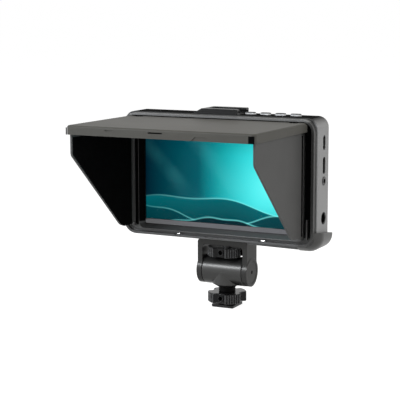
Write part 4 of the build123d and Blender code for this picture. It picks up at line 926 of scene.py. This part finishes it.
floor_mesh = bpy.data.meshes.new("floor")
corners = [(-floor_half, -floor_half, 0), (floor_half, -floor_half, 0), (floor_half, floor_half, 0),
           (-floor_half, floor_half, 0)]
floor_mesh.from_pydata(corners, [], [(0, 1, 2, 3)])
floor = bpy.data.objects.new("floor", floor_mesh)
bpy.context.scene.collection.objects.link(floor)
f = Nodes("floor")
matt = f.add("ShaderNodeBsdfDiffuse")
f.link(f.spread(f.noise(4.0), 0.89, 0.9), matt.inputs["Color"])
glow = f.add("ShaderNodeEmission", Color=plain_white, Strength=floor_glow)
both = f.add("ShaderNodeMixShader")
f.link(f.math("MULTIPLY", seen_rays(f.tree), floor_glow_share), both.inputs["Fac"])
f.link(matt.outputs["BSDF"], both.inputs[1])
f.link(glow.outputs["Emission"], both.inputs[2])
f.link(both.outputs["Shader"], f.output.inputs["Surface"])
floor_mesh.materials.append(f.material)

world = bpy.data.worlds.new("studio")
bpy.context.scene.world = world
world.use_nodes = True
tree = world.node_tree
tree.nodes.clear()
out = tree.nodes.new("ShaderNodeOutputWorld")
pick = tree.nodes.new("ShaderNodeMixShader")
tree.links.new(seen_rays(tree), pick.inputs["Fac"])
tree.links.new(background(tree, world_light), pick.inputs[1])
tree.links.new(background(tree, world_seen), pick.inputs[2])
tree.links.new(pick.outputs["Shader"], out.inputs["Surface"])


lamp_target = (0.0, -0.03, 0.09)


def softbox(name, place, size, power, colour=(1.0, 1.0, 1.0)):
    """A rectangular lamp that faces the object; size in metres, power in watts."""
    lamp = bpy.data.lights.new(name, "AREA")
    lamp.shape = "RECTANGLE"
    lamp.size, lamp.size_y = size
    lamp.energy = power
    lamp.color = colour
    holder = bpy.data.objects.new(name, lamp)
    bpy.context.scene.collection.objects.link(holder)
    holder.location = place
    holder.rotation_mode = "QUATERNION"
    holder.rotation_quaternion = (Vector(lamp_target) - Vector(place)).to_track_quat("-Z", "Y")


softbox("key_right", (0.95, -0.15, 0.45), (0.5, 0.7), 6.4)
softbox("top", (0.05, 0.15, 0.95), (0.8, 0.6), 2.3, (1.0, 0.96, 0.80))
softbox("front_strip", (-0.48, -0.80, 0.63), (0.62, 0.13), 11.0, (0.93, 0.96, 1.0))
softbox("left_fill", (-0.85, -0.75, 0.2), (0.5, 0.5), 5.0, (0.90, 0.95, 1.0))

# ---------------------------------------------------------------------- camera

azimuth = math.radians(26.43)
elevation = math.radians(8.98)
roll = math.radians(-0.17)
camera_place = (0.4127, -0.8760, 0.2338)
focal_pixels = 1309.0
picture_pixels = 400.0
sensor_width = 36.0
camera_data = bpy.data.cameras.new("camera")
camera_data.sensor_width = sensor_width
camera_data.lens = focal_pixels / picture_pixels * sensor_width
camera_data.clip_start = 0.05
camera_data.clip_end = 50.0
camera = bpy.data.objects.new("camera", camera_data)
bpy.context.scene.collection.objects.link(camera)
back = Vector((math.sin(azimuth) * math.cos(elevation), -math.cos(azimuth) * math.cos(elevation),
               math.sin(elevation)))
forward = -back
right = forward.cross(Vector((0, 0, 1))).normalized()
up = right.cross(forward)
turned_right = right * math.cos(roll) + up * math.sin(roll)
turned_up = up * math.cos(roll) - right * math.sin(roll)
turn = Matrix((turned_right, turned_up, back)).transposed()
camera.rotation_mode = "QUATERNION"
camera.rotation_quaternion = turn.to_quaternion()
camera.location = camera_place
bpy.context.scene.camera = camera

bpy.context.scene.view_settings.view_transform = "Standard"
